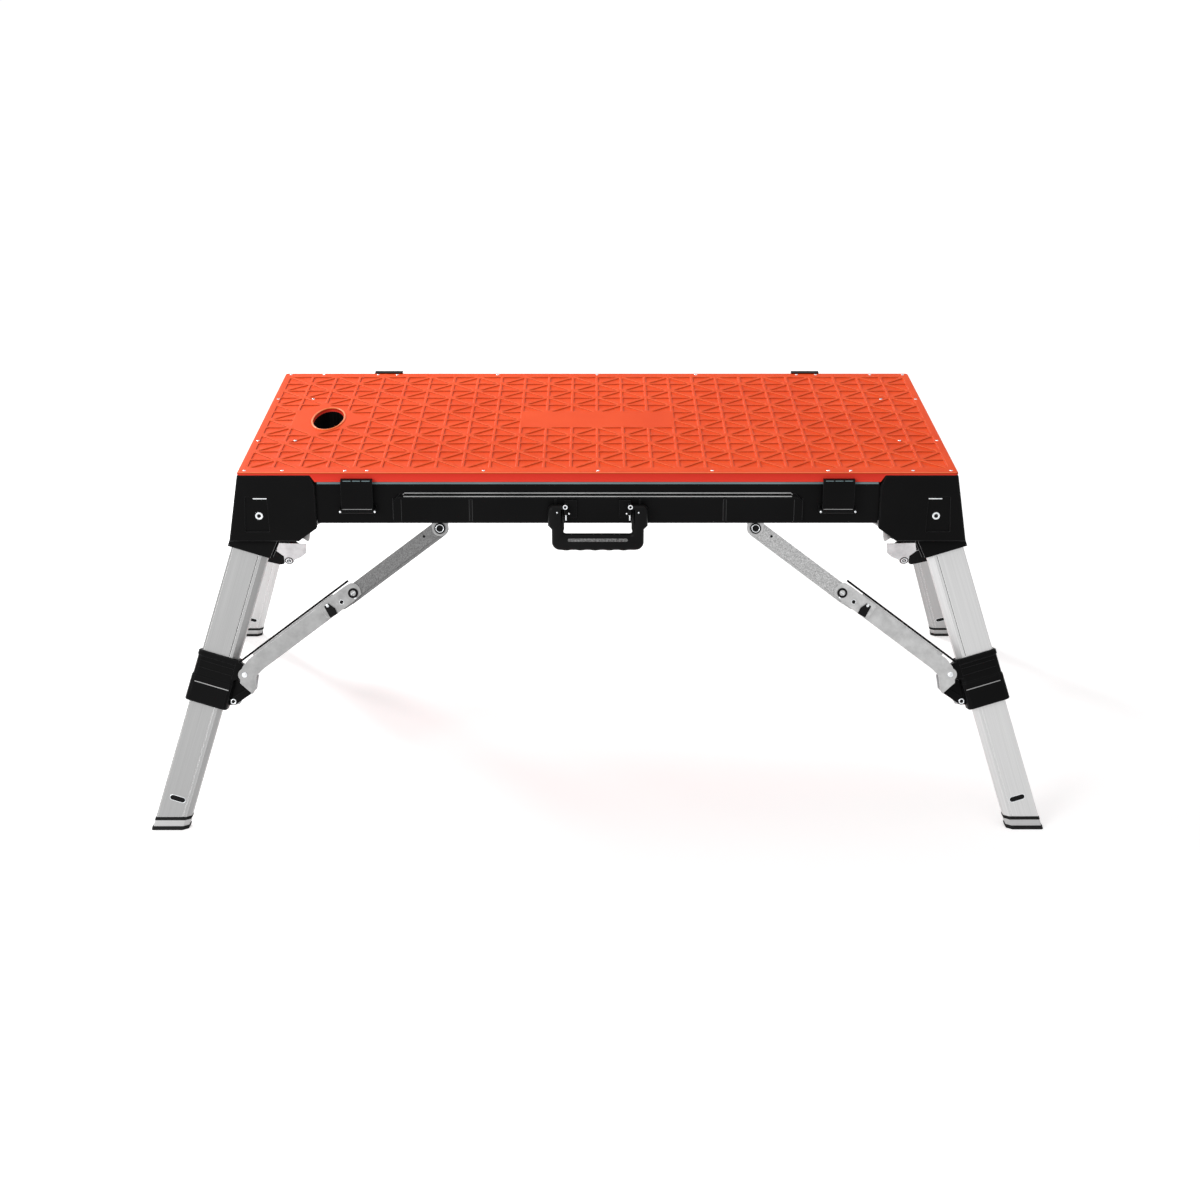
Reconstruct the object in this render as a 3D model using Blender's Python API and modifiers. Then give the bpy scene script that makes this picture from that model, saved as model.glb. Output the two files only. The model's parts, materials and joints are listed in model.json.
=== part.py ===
# Portable folding workbench: moulded top, ring frame, four splayed telescopic legs that fold inward.
# Origin: middle of the footprint, on the floor. +X along the bench, +Y away from the carry handle, +Z up.
# Everything at a corner is built for the rear right one and mirrored to the others.
import math

import bmesh
import bpy
from mathutils import Matrix, Vector

# Overall sizes, metres
TOP_L = 1.140            # length of the top
TOP_D = 0.562            # depth of the top
HEIGHT = 0.570           # floor to working surface, legs extended
PLATE = 0.0050           # thickness of the moulded top plate
SKIRT = 0.0160           # working surface to the bottom of the top's skirt
SKIRT_T = 0.0030         # wall of the skirt
APRON_H = 0.087          # working surface to the bottom of the aprons
GAP = 0.0003             # air between pieces that touch
BITE = 0.0010            # how far joined shapes run into each other
PAST = 0.0200            # how far cutting shapes run past what they cut
SMOOTH = 38              # degrees: edges sharper than this stay crisp

# Leg line: the fold pin under the top, and the leg's outward lean per metre of height
PIN_IN_X = 0.0350        # end of the top to the fold pin
PIN_IN_Y = 0.0562        # long side of the top to the fold pin
PIN_DROP = 0.0620        # working surface to the fold pin
LEAN_X = 0.315
LEAN_Y = 0.335

# Folding brace: two equal links; the collar pivot and the frame pivot are equally far from the fold pin
LUG_Q = -0.0489          # collar pivot off the leg's centre line
LUG_S = 0.2826           # collar pivot along the leg, from the fold pin
LINK = 0.1976            # pivot to pivot of each link
LINK_T = 0.0060          # thickness of a link
EAR_T = 0.0026           # thickness of the frame's brace ear
LAYER_LOW = 0.0010       # air between collar and lower link
LAYER_UP = 0.0008        # air between the two links
LAYER_EAR = 0.0006       # air between upper link and ear
BRACE_PIN_R = 0.0045

# Parts of the leg that other pieces are sized from
TUBE_HW = 0.0300         # half width of the outer tube
TUBE_HT = 0.0130         # half thickness of the outer tube
COLLAR_S = 0.2640        # fold pin to the collar's upper edge, along the leg
COLLAR_L = 0.0847
COLLAR_HW = 0.0350
COLLAR_HT = 0.0170
PIN_R = 0.0050           # fold pin

# Parts of the corner bracket that the frame is sized from
BR_IN = 0.1225           # end of the top to the bracket's inner edge
BR_W = 0.0910            # depth of the bracket from the long side

HX = TOP_L / 2
HY = TOP_D / 2
UNDER = HEIGHT - PLATE
BOTTOM = HEIGHT - APRON_H
A = Vector((HX - PIN_IN_X, HY - PIN_IN_Y, HEIGHT - PIN_DROP))
BETA = math.atan(LEAN_Y)
ALPHA = math.atan(LEAN_X * math.cos(BETA))
DIR_X = Vector((1, 0, 0))
DIR_W = Vector((0, math.sin(BETA), -math.cos(BETA)))
DIR_N = Vector((0, math.cos(BETA), math.sin(BETA)))
DIR_Q = DIR_X * math.cos(ALPHA) - DIR_W * math.sin(ALPHA)
DIR_S = DIR_X * math.sin(ALPHA) + DIR_W * math.cos(ALPHA)
CORNERS = {"fl": (-1, -1), "fr": (1, -1), "rl": (-1, 1), "rr": (1, 1)}


def frame_matrix(origin, x, y, z):
    m = Matrix.Identity(4)
    for i, v in enumerate((x, y, z, origin)):
        m[0][i], m[1][i], m[2][i] = v
    return m


# Leg frame: q across the leg, s down the leg, n out of its wide face.
# The turns lay an outline as the leg's section, as a profile along X, and as one along Y either way.
LEG = frame_matrix(A, DIR_Q, DIR_S, DIR_N)
SECTION_TURN = Matrix(((1, 0, 0, 0), (0, 0, -1, 0), (0, 1, 0, 0), (0, 0, 0, 1)))
ALONG_X = Matrix(((0, 0, 1, 0), (1, 0, 0, 0), (0, 1, 0, 0), (0, 0, 0, 1)))
ALONG_Y = Matrix(((1, 0, 0, 0), (0, 0, 1, 0), (0, 1, 0, 0), (0, 0, 0, 1)))
FROM_REAR = Matrix(((1, 0, 0, 0), (0, 0, -1, 0), (0, 1, 0, 0), (0, 0, 0, 1)))

# Brace pivots: a kite with the fold pin, so both links are in line when the leg stands
REACH = math.hypot(LUG_Q, LUG_S)
SPREAD = math.asin(LINK / REACH)
LUG = A + DIR_Q * LUG_Q + DIR_S * LUG_S
ear_turn = ALPHA + math.atan2(LUG_Q, LUG_S) - 2 * SPREAD
EAR = A + DIR_X * (REACH * math.sin(ear_turn)) + DIR_W * (REACH * math.cos(ear_turn))
DIR_U = (EAR - LUG).normalized()
DIR_V = DIR_N.cross(DIR_U)
LINK_LOW = frame_matrix(LUG, DIR_U, DIR_V, DIR_N)
LINK_UP = frame_matrix(EAR, -DIR_U, -DIR_V, DIR_N)
LINK_MID = frame_matrix((LUG + EAR) / 2, DIR_U, DIR_V, DIR_N)
LOW_IN = COLLAR_HT + LAYER_LOW
LOW_OUT = LOW_IN + LINK_T
UP_IN = LOW_OUT + LAYER_UP
UP_OUT = UP_IN + LINK_T
EAR_IN = UP_OUT + LAYER_EAR
EAR_OUT = EAR_IN + EAR_T

for ob in list(bpy.data.objects):
    bpy.data.objects.remove(ob, do_unlink=True)
part = bpy.data.collections.new("portable_workbench")
cutters = bpy.data.collections.new("cutters")
bpy.context.scene.collection.children.link(part)
bpy.context.scene.collection.children.link(cutters)


def material(name, colour, rough, metal=0.0):
    m = bpy.data.materials.new(name)
    m.use_nodes = True
    p = m.node_tree.nodes["Principled BSDF"]
    p.inputs["Base Color"].default_value = (*colour, 1)
    p.inputs["Roughness"].default_value = rough
    p.inputs["Metallic"].default_value = metal
    return m


ORANGE = material("orange_plastic", (0.95, 0.10, 0.015), 0.45)
BLACK = material("black_plastic", (0.012, 0.012, 0.013), 0.42)
ALUMINIUM = material("aluminium", (0.62, 0.62, 0.62), 0.33, 1.0)
STEEL = material("zinc_steel", (0.55, 0.56, 0.57), 0.30, 1.0)
RUBBER = material("rubber", (0.02, 0.02, 0.02), 0.7)


# Building blocks
def keep(ob):
    cutters.objects.link(ob)
    return ob


def realise(ob):
    """Replace an object by its evaluated mesh, with welded seams."""
    bpy.context.view_layer.update()
    got = bpy.data.meshes.new_from_object(ob.evaluated_get(bpy.context.evaluated_depsgraph_get()))
    bm = bmesh.new()
    bm.from_mesh(got)
    bmesh.ops.remove_doubles(bm, verts=bm.verts, dist=0.00001)
    bmesh.ops.recalc_face_normals(bm, faces=bm.faces)
    bm.to_mesh(got)
    bm.free()
    out = keep(bpy.data.objects.new(ob.name, got))
    bpy.data.objects.remove(ob, do_unlink=True)
    return out


def flat(loops, lo, hi, matrix=None):
    """Filled outline with holes in the local XY plane, standing from lo to hi along local Z."""
    cu = bpy.data.curves.new("outline", "CURVE")
    cu.dimensions = "2D"
    cu.fill_mode = "BOTH"
    cu.extrude = (hi - lo) / 2
    for loop in loops:
        sp = cu.splines.new("POLY")
        sp.points.add(len(loop) - 1)
        for p, (x, y) in zip(sp.points, loop):
            p.co = (x, y, 0, 1)
        sp.use_cyclic_u = True
    ob = realise(keep(bpy.data.objects.new("outline", cu)))
    place = Matrix.Translation((0, 0, (lo + hi) / 2))
    ob.data.transform((matrix @ place) if matrix else place)
    if matrix and matrix.determinant() < 0:
        ob.data.flip_normals()
    return ob


def box(x, y, z):
    """Box between two limits on each axis."""
    bm = bmesh.new()
    bmesh.ops.create_cube(bm, size=1.0)
    size = Matrix.Diagonal((x[1] - x[0], y[1] - y[0], z[1] - z[0], 1))
    bm.transform(Matrix.Translation(((x[0] + x[1]) / 2, (y[0] + y[1]) / 2, (z[0] + z[1]) / 2)) @ size)
    me = bpy.data.meshes.new("box")
    bm.to_mesh(me)
    bm.free()
    return keep(bpy.data.objects.new("box", me))


def rod(r, lo, hi, matrix, sides=12):
    """Cylinder on the local Z axis from lo to hi."""
    bm = bmesh.new()
    bmesh.ops.create_cone(bm, cap_ends=True, segments=sides, radius1=r, radius2=r, depth=hi - lo)
    bm.transform(matrix @ Matrix.Translation((0, 0, (lo + hi) / 2)))
    me = bpy.data.meshes.new("rod")
    bm.to_mesh(me)
    bm.free()
    return keep(bpy.data.objects.new("rod", me))


def combine(target, others, operation):
    for other in others:
        mod = target.modifiers.new("combine", "BOOLEAN")
        mod.solver = "EXACT"
        mod.operation = operation
        mod.object = other
    out = realise(target)
    for other in others:
        bpy.data.objects.remove(other, do_unlink=True)
    return out


def cut(target, *tools):
    return combine(target, tools, "DIFFERENCE")


def join(target, *more):
    return combine(target, more, "UNION")


def within(target, *more):
    return combine(target, more, "INTERSECT")


def placed(ob, matrix):
    ob.data.transform(matrix)
    return ob


def bevel(ob, width, segments=2, angle=40):
    mod = ob.modifiers.new("edges", "BEVEL")
    mod.width = width
    mod.segments = segments
    mod.limit_method = "ANGLE"
    mod.angle_limit = math.radians(angle)
    mod.use_clamp_overlap = True
    return realise(ob)


def loft(rings):
    """Skin through rings of equal point counts, closed by flat ends."""
    bm = bmesh.new()
    rows = [[bm.verts.new(p) for p in ring] for ring in rings]
    count = len(rows[0])
    for low, high in zip(rows, rows[1:]):
        for i in range(count):
            bm.faces.new((low[i], low[(i + 1) % count], high[(i + 1) % count], high[i]))
    bm.faces.new(list(reversed(rows[0])))
    bm.faces.new(rows[-1])
    bmesh.ops.recalc_face_normals(bm, faces=bm.faces)
    me = bpy.data.meshes.new("loft")
    bm.to_mesh(me)
    bm.free()
    return keep(bpy.data.objects.new("loft", me))


def arc(cx, cy, r, start, end, steps):
    turn = [math.radians(start + (end - start) * i / steps) for i in range(steps + 1)]
    return [(cx + r * math.cos(t), cy + r * math.sin(t)) for t in turn]


def rounded(hx, hy, r, steps=3):
    """Rounded rectangle about the origin."""
    out = []
    for sx, sy, a in ((1, 1, 0), (-1, 1, 90), (-1, -1, 180), (1, -1, 270)):
        out += arc(sx * (hx - r), sy * (hy - r), r, a, a + 90, steps)
    return out


def inset(loop, d):
    """Move each edge of a convex outline inward by d."""
    area = sum(a[0] * b[1] - b[0] * a[1] for a, b in zip(loop, loop[1:] + loop[:1]))
    turn = 1 if area > 0 else -1
    lines = []
    for a, b in zip(loop, loop[1:] + loop[:1]):
        ex, ey = b[0] - a[0], b[1] - a[1]
        k = math.hypot(ex, ey)
        nx, ny = -ey / k * turn, ex / k * turn
        lines.append((nx, ny, nx * a[0] + ny * a[1] + d))
    out = []
    for (a1, b1, c1), (a2, b2, c2) in zip(lines[-1:] + lines[:-1], lines):
        det = a1 * b2 - a2 * b1
        out.append(((c1 * b2 - c2 * b1) / det, (a1 * c2 - a2 * c1) / det))
    return out


def stadium(half, r, steps=4):
    """Slot outline along local X."""
    return arc(half - r, 0, r, -90, 90, steps) + arc(-half + r, 0, r, 90, 270, steps)


def emit(ob, name, mat, pivot=None):
    """Put a finished shape in the part under its node's name, with its origin on its pivot."""
    at = Vector(pivot) if pivot is not None else Vector((0, 0, 0))
    me = ob.data.copy()
    me.name = name
    me.transform(Matrix.Translation(-at))
    me.materials.clear()
    me.materials.append(mat)
    me.shade_smooth()
    me.set_sharp_from_angle(angle=math.radians(SMOOTH))
    new = bpy.data.objects.new(name, me)
    new.location = at
    part.objects.link(new)
    return new


def mirrored(ob, sx, sy):
    """A copy of a rear right shape at another corner."""
    me = ob.data.copy()
    me.transform(Matrix.Diagonal((sx, sy, 1, 1)))
    if sx * sy < 0:
        me.flip_normals()
    return keep(bpy.data.objects.new(ob.name, me))


def at_corners(ob, stem, mat, pivot=None, sides=(-1, 1)):
    """The shape at its corners, on the front and rear side or on one of them."""
    for tag, (sx, sy) in CORNERS.items():
        if sy in sides:
            spot = Vector((pivot[0] * sx, pivot[1] * sy, pivot[2])) if pivot is not None else None
            emit(mirrored(ob, sx, sy), f"{stem}_{tag}", mat, spot)
    bpy.data.objects.remove(ob, do_unlink=True)


def spread(ob, corners):
    """One object that holds a shape at several corners."""
    bm = bmesh.new()
    for sx, sy in corners:
        copy = mirrored(ob, sx, sy)
        bm.from_mesh(copy.data)
        bpy.data.objects.remove(copy, do_unlink=True)
    me = bpy.data.meshes.new(ob.name)
    bm.to_mesh(me)
    bm.free()
    bpy.data.objects.remove(ob, do_unlink=True)
    return keep(bpy.data.objects.new("spread", me))


# Top panel: thin moulded plate with a turned-down skirt, notched where the brackets and front latches sit
CORNER_R = 0.0060        # plan radius of the top's corners
TOP_BEVEL = 0.0018
NOTCH_IN = 0.0060        # how far the bracket notches run inside the skirt
skirt_z = HEIGHT - SKIRT
plate = flat([rounded(HX, HY, CORNER_R, 3)], skirt_z, HEIGHT)
plate = bevel(plate, TOP_BEVEL, 2, 60)
inside = rounded(HX - SKIRT_T, HY - SKIRT_T, CORNER_R - SKIRT_T * 2 / 3, 2)
plate = cut(plate, flat([inside], skirt_z - PAST, UNDER))
long_end = HX - BR_IN - GAP
end_side = HY - BR_W - GAP
notch_z = (skirt_z - PAST, UNDER - GAP / 2)
notch = box((long_end, HX + PAST), (HY - SKIRT_T - NOTCH_IN, HY + PAST), notch_z)
plate = cut(plate, spread(notch, CORNERS.values()))
notch = box((HX - SKIRT_T - NOTCH_IN, HX + PAST), (end_side, HY + PAST), notch_z)
plate = cut(plate, spread(notch, CORNERS.values()))
LATCH_IN = 0.0662        # bracket's inner edge to the middle of the latch
LATCH_W = 0.0500
LATCH_DROP = 0.0100      # working surface to the front latch's upper edge
LIP_T = 0.0030           # lip of the front latch
LIP_IN = 0.0015          # how far the front latch's lip runs into the skirt
LIP_AIR = 0.0005         # air round the lip
latch_x = long_end - LATCH_IN
lip_z = (HEIGHT - LATCH_DROP - LIP_T - 2 * LIP_AIR, HEIGHT - LATCH_DROP + LIP_AIR)
lip_x = (latch_x - LATCH_W / 2 - 2 * LIP_AIR, latch_x + LATCH_W / 2 + 2 * LIP_AIR)
groove = box(lip_x, (HY - LIP_IN - LIP_AIR, HY + PAST), lip_z)
plate = cut(plate, spread(groove, ((-1, -1), (1, -1))))

# Hand hole with a raised rim, and the black oval chute under it
HOLE_IN = 0.1120         # end of the top to the middle of the hole
HOLE_HW = 0.0250         # half width along X
HOLE_HL = 0.0600         # half length along Y
RIM_W = 0.0030
RIM_H = 0.0012
CHUTE_H = 0.0500
CHUTE_OUT = 0.0035       # chute's outer face outside the hole
CHUTE_IN = 0.0008        # chute's inner face outside the hole


def oval(grow, steps=28):
    turn = [2 * math.pi * i / steps for i in range(steps)]
    return [(HOLE_IN - HX + (HOLE_HW + grow) * math.cos(t), (HOLE_HL + grow) * math.sin(t)) for t in turn]


rim_rows = ((RIM_W, HEIGHT - 2 * BITE), (RIM_W, HEIGHT + RIM_H / 2), (RIM_W / 2, HEIGHT + RIM_H),
            (0.0, HEIGHT + RIM_H))
plate = join(plate, loft([[(x, y, z) for x, y in oval(g)] for g, z in rim_rows]))
plate = cut(plate, flat([oval(0.0)], UNDER - PAST, HEIGHT + PAST))
emit(plate, "top_panel", ORANGE)
emit(flat([oval(CHUTE_OUT), oval(CHUTE_IN)], UNDER - CHUTE_H, UNDER - GAP), "hole_chute", BLACK)

# Long aprons: a wall with a thick upper rim and a raised panel that has a sloped upper ledge
WALL = 0.0035
FACE_IN = 0.0060         # top's edge to the apron's face
RIM_BLOCK = 0.0100       # thickness of the upper rim, from the face
RIM_UNDER = 0.0020       # rim below the skirt's bottom
PANEL_SHORT = 0.1222     # bracket's inner edge to the raised panel's end
PANEL_DROP = 0.0365      # working surface to the raised panel's top
PANEL_FOOT = 0.0030      # apron's bottom to the panel's bottom
PANEL_IN = 0.0002        # top's edge to the panel's face
PANEL_EDGE = 0.0020      # chamfer at the panel's bottom
LEDGE = 0.0060           # height of the sloped ledge
SLOPE = 0.0120           # cut of the panel's upper corners
face_y = HY - FACE_IN
face_x = HX - FACE_IN
rim_top = UNDER - GAP
seat = skirt_z - GAP
rim_y = HY - SKIRT_T - GAP
block_y = face_y - RIM_BLOCK
block_z = seat - RIM_UNDER
apron_profile = [(face_y, BOTTOM), (face_y, seat), (rim_y, seat), (rim_y, rim_top), (block_y, rim_top),
                 (block_y, block_z), (face_y - WALL, block_z), (face_y - WALL, BOTTOM)]
apron = flat([apron_profile], -long_end, long_end, ALONG_X)
panel_half = long_end - PANEL_SHORT
panel_top = HEIGHT - PANEL_DROP
panel_y = HY - PANEL_IN
panel_foot = BOTTOM + PANEL_FOOT
panel_profile = [(face_y - BITE, panel_foot), (panel_y - PANEL_EDGE / 3, panel_foot),
                 (panel_y, panel_foot + PANEL_EDGE), (panel_y, panel_top - LEDGE), (face_y - BITE, panel_top)]
panel = flat([panel_profile], -panel_half, panel_half, ALONG_X)
for s in (-1, 1):
    tip = s * (panel_half + BITE)
    corner = [(tip, panel_top - SLOPE - BITE), (s * (panel_half - SLOPE - BITE), panel_top + BITE),
              (tip, panel_top + BITE)]
    panel = cut(panel, flat([corner], face_y - PAST, HY + PAST, ALONG_Y))
apron = join(apron, panel)
SEAM_HW = 0.0012         # fine upright lines on the panel
SEAM_UP = 0.0005         # how far they stand proud
for share in (-0.62, -0.206, 0.206, 0.62):
    x = share * panel_half
    seam = box((x - SEAM_HW, x + SEAM_HW), (panel_y - BITE, panel_y + SEAM_UP),
               (panel_foot + PANEL_EDGE, panel_top - LEDGE - PANEL_EDGE))
    apron = join(apron, seam)

# Slanted pads that carry the brace ears, and round cheeks that carry the latches
PAD_HW = 0.0160
PAD_DROP = 0.0030        # rim to the pad's top
PAD_UP = 0.0240          # apron's bottom to the pad's bottom
LATCH_PIN_DROP = 0.0630  # working surface to the latch's pivot
LATCH_PIN_OUT = 0.0040   # latch's pivot outside the top's edge
LATCH_R = 0.0042         # rolled end of the latch, and its cheeks
CHEEK_T = 0.0034
CHEEK_FOOT = 0.0065      # half height of a cheek at the apron
CHEEK_AIR = 0.0006       # latch to cheek
STUB_R = 0.0017          # stub pins moulded on the latch's ends
STUB_L = 0.0025
pad_face = (EAR_OUT + GAP) / math.cos(BETA)
pad_z = (BOTTOM + PAD_UP, seat - PAD_DROP)
pad_y = [A.y + (A.z - z) * math.tan(BETA) + pad_face for z in pad_z]
pad_root = face_y - 2 * BITE
pad_profile = [(pad_root, pad_z[0]), (pad_y[0], pad_z[0]), (pad_y[1], pad_z[1]), (pad_root, pad_z[1])]
pads = [flat([pad_profile], s * EAR.x - PAD_HW, s * EAR.x + PAD_HW, ALONG_X) for s in (-1, 1)]
apron = join(apron, *pads)
latch_z = HEIGHT - LATCH_PIN_DROP
latch_y = HY + LATCH_PIN_OUT
cheek = arc(latch_y, latch_z, LATCH_R, -90, 90, 5)
cheek += [(face_y - BITE, latch_z + CHEEK_FOOT), (face_y - BITE, latch_z - CHEEK_FOOT)]
for s in (-1, 1):
    for side in (-1, 1):
        near = s * latch_x + side * (LATCH_W / 2 + CHEEK_AIR)
        x0, x1 = sorted((near, near + side * CHEEK_T))
        apron = join(apron, flat([cheek], x0, x1, ALONG_X))
latch_at = ALONG_X @ Matrix.Translation((latch_y, latch_z, 0))
for s in (-1, 1):
    reach = LATCH_W / 2 + CHEEK_AIR + CHEEK_T + BITE
    apron = cut(apron, rod(STUB_R + GAP, s * latch_x - reach, s * latch_x + reach, latch_at, 10))
rear = mirrored(apron, 1, 1)
front = mirrored(apron, 1, -1)
bpy.data.objects.remove(apron, do_unlink=True)

# End aprons, inner rails, and shallow cross ribs under the plate
RAIL_IN = 0.1110         # long side to the middle of the rail
RAIL_T = 0.0060
RAIL_UP = 0.0170         # apron's bottom to the rail's bottom
RIB_T = 0.0040
RIB_END = 0.1700         # end of the top to the outermost rib
RIB_BAYS = 3             # bays from the middle to the outermost rib
RIB_AIR = 0.0002         # rib to plate
end_profile = [(x + HX - HY, z) for x, z in apron_profile]
end = flat([end_profile], -end_side, end_side, ALONG_Y)
end_l = mirrored(end, -1, 1)
rail_x = (-face_x + BITE, face_x - BITE)
rail_z = (BOTTOM + RAIL_UP, rim_top)
rails = []
for s in (-1, 1):
    middle = s * (HY - RAIL_IN)
    rails.append(box(rail_x, (middle - RAIL_T / 2, middle + RAIL_T / 2), rail_z))
rib_y = block_y + (rim_y - block_y) / 3
rib_z = (seat + 2 * RIB_AIR, rim_top - RIB_AIR)
crossing = []
for i in range(-RIB_BAYS, RIB_BAYS + 1):
    x = i * (HX - RIB_END) / RIB_BAYS
    crossing.append(box((x - RIB_T / 2, x + RIB_T / 2), (-rib_y, rib_y), rib_z))
frame = join(rails[0], *rails[1:], *crossing)
frame = join(frame, front, rear, end, end_l)
emit(frame, "frame", BLACK)

# Corner bracket: cheek on the long side, flared end wall and deck, round a sleeve open on its inner side
BR_T = 0.0040
BR_DROP = 0.1165         # working surface to the bracket's lower edge
BR_FLARE = 0.0200        # outward lean of the end wall over its height
BR_BEVEL = 0.0016
BR_STEP = 0.0070         # cut of the upper inner corner, along X
BR_SHOULDER = 0.0190     # the same cut, down
BR_TAIL_X = 0.0306       # cut of the lower inner corner, along X
BR_TAIL_Z = 0.0226       # the same cut, up
SLEEVE_T = 0.0040
SLEEVE_AIR = 0.0005      # tube's wide face to the sleeve
SLEEVE_S = 0.0910        # fold pin to the sleeve's lower end, along the leg
SLEEVE_UP = 0.0750       # sleeve above the fold pin
SLEEVE_LIP = 0.0100      # sleeve's inner edge past the collar's width, at the fold pin
SLEEVE_HEAD = 0.0600     # sleeve's inner edge from the leg's centre line, at its top
BACK_AIR = 0.0008        # tube's outer edge to the sleeve's back
BACK_S = 0.0260          # fold pin to where the sleeve's back starts
STAY_T = 0.0030          # webs between sleeve and cheek
STAY_H = 0.0200
STAY_X = (-0.0300, 0.0220)
PIN_HOLE_IN = 0.0300     # reach of the fold pin's hole, inward
PIN_HOLE_OUT = 0.0245    # and outward, short of the cheek's face
POCKET_Z = (0.1000, 0.0410)              # pocket in the cheek, below the working surface
POCKET_LOW = (0.0465, 0.0075)            # its lower corners, from the end of the top
POCKET_TOP = (0.0450, 0.0105)            # and its upper corners
POCKET_DEEP = 0.0022
end_x, side_y, top_z = PIN_IN_X, PIN_IN_Y, PIN_DROP     # the top's faces, seen from the fold pin
deck = top_z - PLATE - GAP
low = top_z - BR_DROP
lean = BR_FLARE / BR_DROP
flare = lean * (deck - low)
inner_x = end_x - BR_IN
cheek = [(end_x, deck), (inner_x + BR_STEP, deck), (inner_x, deck - BR_SHOULDER), (inner_x, low + BR_TAIL_Z),
         (inner_x + BR_TAIL_X, low), (end_x + flare, low)]
body = bevel(flat([cheek], side_y - BR_W, side_y, ALONG_Y), BR_BEVEL, 1, 50)
room = [(end_x - BR_T, deck - BR_T), (inner_x - PAST, deck - BR_T), (inner_x - PAST, low - PAST),
        (end_x + flare - BR_T + lean * PAST, low - PAST)]
body = cut(body, flat([room], side_y - BR_W - PAST, side_y - BR_T, ALONG_Y))
wall_in = TUBE_HT + SLEEVE_AIR
wall_out = wall_in + SLEEVE_T
side = [(-COLLAR_HW, SLEEVE_S), (COLLAR_HW, SLEEVE_S), (COLLAR_HW, -SLEEVE_LIP), (TUBE_HW, -SLEEVE_UP),
        (-SLEEVE_HEAD, -SLEEVE_UP), (-COLLAR_HW - SLEEVE_LIP, SLEEVE_LIP)]
back = [(TUBE_HW + BACK_AIR, BACK_S), (COLLAR_HW + GAP, BACK_S), (COLLAR_HW + GAP, SLEEVE_S),
        (TUBE_HW + BACK_AIR, SLEEVE_S)]
sleeve = join(flat([side], wall_in, wall_out), flat([back], -wall_out, wall_out),
              flat([side], -wall_out, -wall_in))
leg_turn = LEG.to_3x3().to_4x4()
sleeve = cut(placed(sleeve, leg_turn), box((-BR_IN, BR_IN), (-BR_W, BR_W), (deck - BR_T / 2, deck + BR_DROP)))
stays = []
for x in STAY_X:
    stays.append(box((x - STAY_T / 2, x + STAY_T / 2), (PAST, side_y - BR_T + BITE),
                     (low + BR_T, low + BR_T + STAY_H)))
tunnel_in, tunnel_out = -SLEEVE_HEAD - PAST, TUBE_HW + BACK_AIR - BITE / 10
tunnel = [(tunnel_in, low), (tunnel_out, low), (tunnel_out, 2 * SLEEVE_UP), (tunnel_in, 2 * SLEEVE_UP)]
past_wall = wall_in + SLEEVE_T * 3 / 8
body = cut(join(body, *stays), flat([tunnel], -past_wall, past_wall, leg_turn))
body = join(body, sleeve)
body = cut(body, rod(PIN_R + GAP, -PIN_HOLE_IN, PIN_HOLE_OUT, leg_turn))
pocket_z = [top_z - drop for drop in POCKET_Z]
pocket = [(end_x - POCKET_LOW[0], pocket_z[0]), (end_x - POCKET_LOW[1], pocket_z[0]),
          (end_x - POCKET_TOP[1], pocket_z[1]), (end_x - POCKET_TOP[0], pocket_z[1])]
body = cut(body, flat([pocket], side_y - POCKET_DEEP, side_y + PAST, ALONG_Y))
at_corners(placed(body, Matrix.Translation(A)), "bracket", BLACK)

# Fold pins with flanged ends
PIN_OUT = 0.0030         # pin past the sleeve's walls
FLANGE_R = 0.0085
pin = join(rod(PIN_R, -wall_out - PIN_OUT, wall_out + PIN_OUT, LEG),
           rod(FLANGE_R, wall_out + GAP, wall_out + PIN_OUT, LEG),
           rod(FLANGE_R, -wall_out - PIN_OUT, -wall_out - GAP, LEG))
at_corners(pin, "fold_pin", STEEL, A)

# Leg tubes: extrusions with a groove on both wide faces and a bevelled inner edge
TUBE_WALL = 0.0020
TUBE_SLIP = 0.0008       # air between the two tubes
TUBE_TOP = 0.0160        # upper tube above the fold pin
TUBE_HOLD = 0.0160       # upper tube's end inside the collar, from the collar's lower edge
TUBE_CHAMFER = 0.0033    # outer corners
INNER_Q = 0.0095         # bevel of the inner corners, across the leg
INNER_N = 0.0065         # the same bevel, through the leg
GROOVE_Q = 0.0052        # bevel to the groove
GROOVE_HW = 0.0008
GROOVE_DEEP = 0.0007
PIN_AIR = 0.0005         # fold pin in the tube
LOCK_BACK = 0.0137       # collar's lower edge back to its lock bar
LOCK_OVER = 0.1200       # lower tube above the lock bar, legs extended
SLOT_UP = 0.0491         # floor to the retracting slot, along the leg
SLOT_Q = 0.0015          # slots off the centre line
SLOT_HL = 0.0105
SLOT_HW = 0.0028
SOLE = 0.0055            # height of the rubber sole
PAD_H = 0.0095           # pad over the sole
GASKET = 0.0045          # seal between pad and tube
SECTION = [(TUBE_HW - TUBE_CHAMFER, -TUBE_HT), (TUBE_HW, -TUBE_HT + TUBE_CHAMFER),
           (TUBE_HW, TUBE_HT - TUBE_CHAMFER), (TUBE_HW - TUBE_CHAMFER, TUBE_HT),
           (-TUBE_HW + INNER_Q, TUBE_HT), (-TUBE_HW, TUBE_HT - INNER_N),
           (-TUBE_HW, -TUBE_HT + INNER_N), (-TUBE_HW + INNER_Q, -TUBE_HT)]
LOWER = inset(SECTION, TUBE_WALL + TUBE_SLIP)


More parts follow.
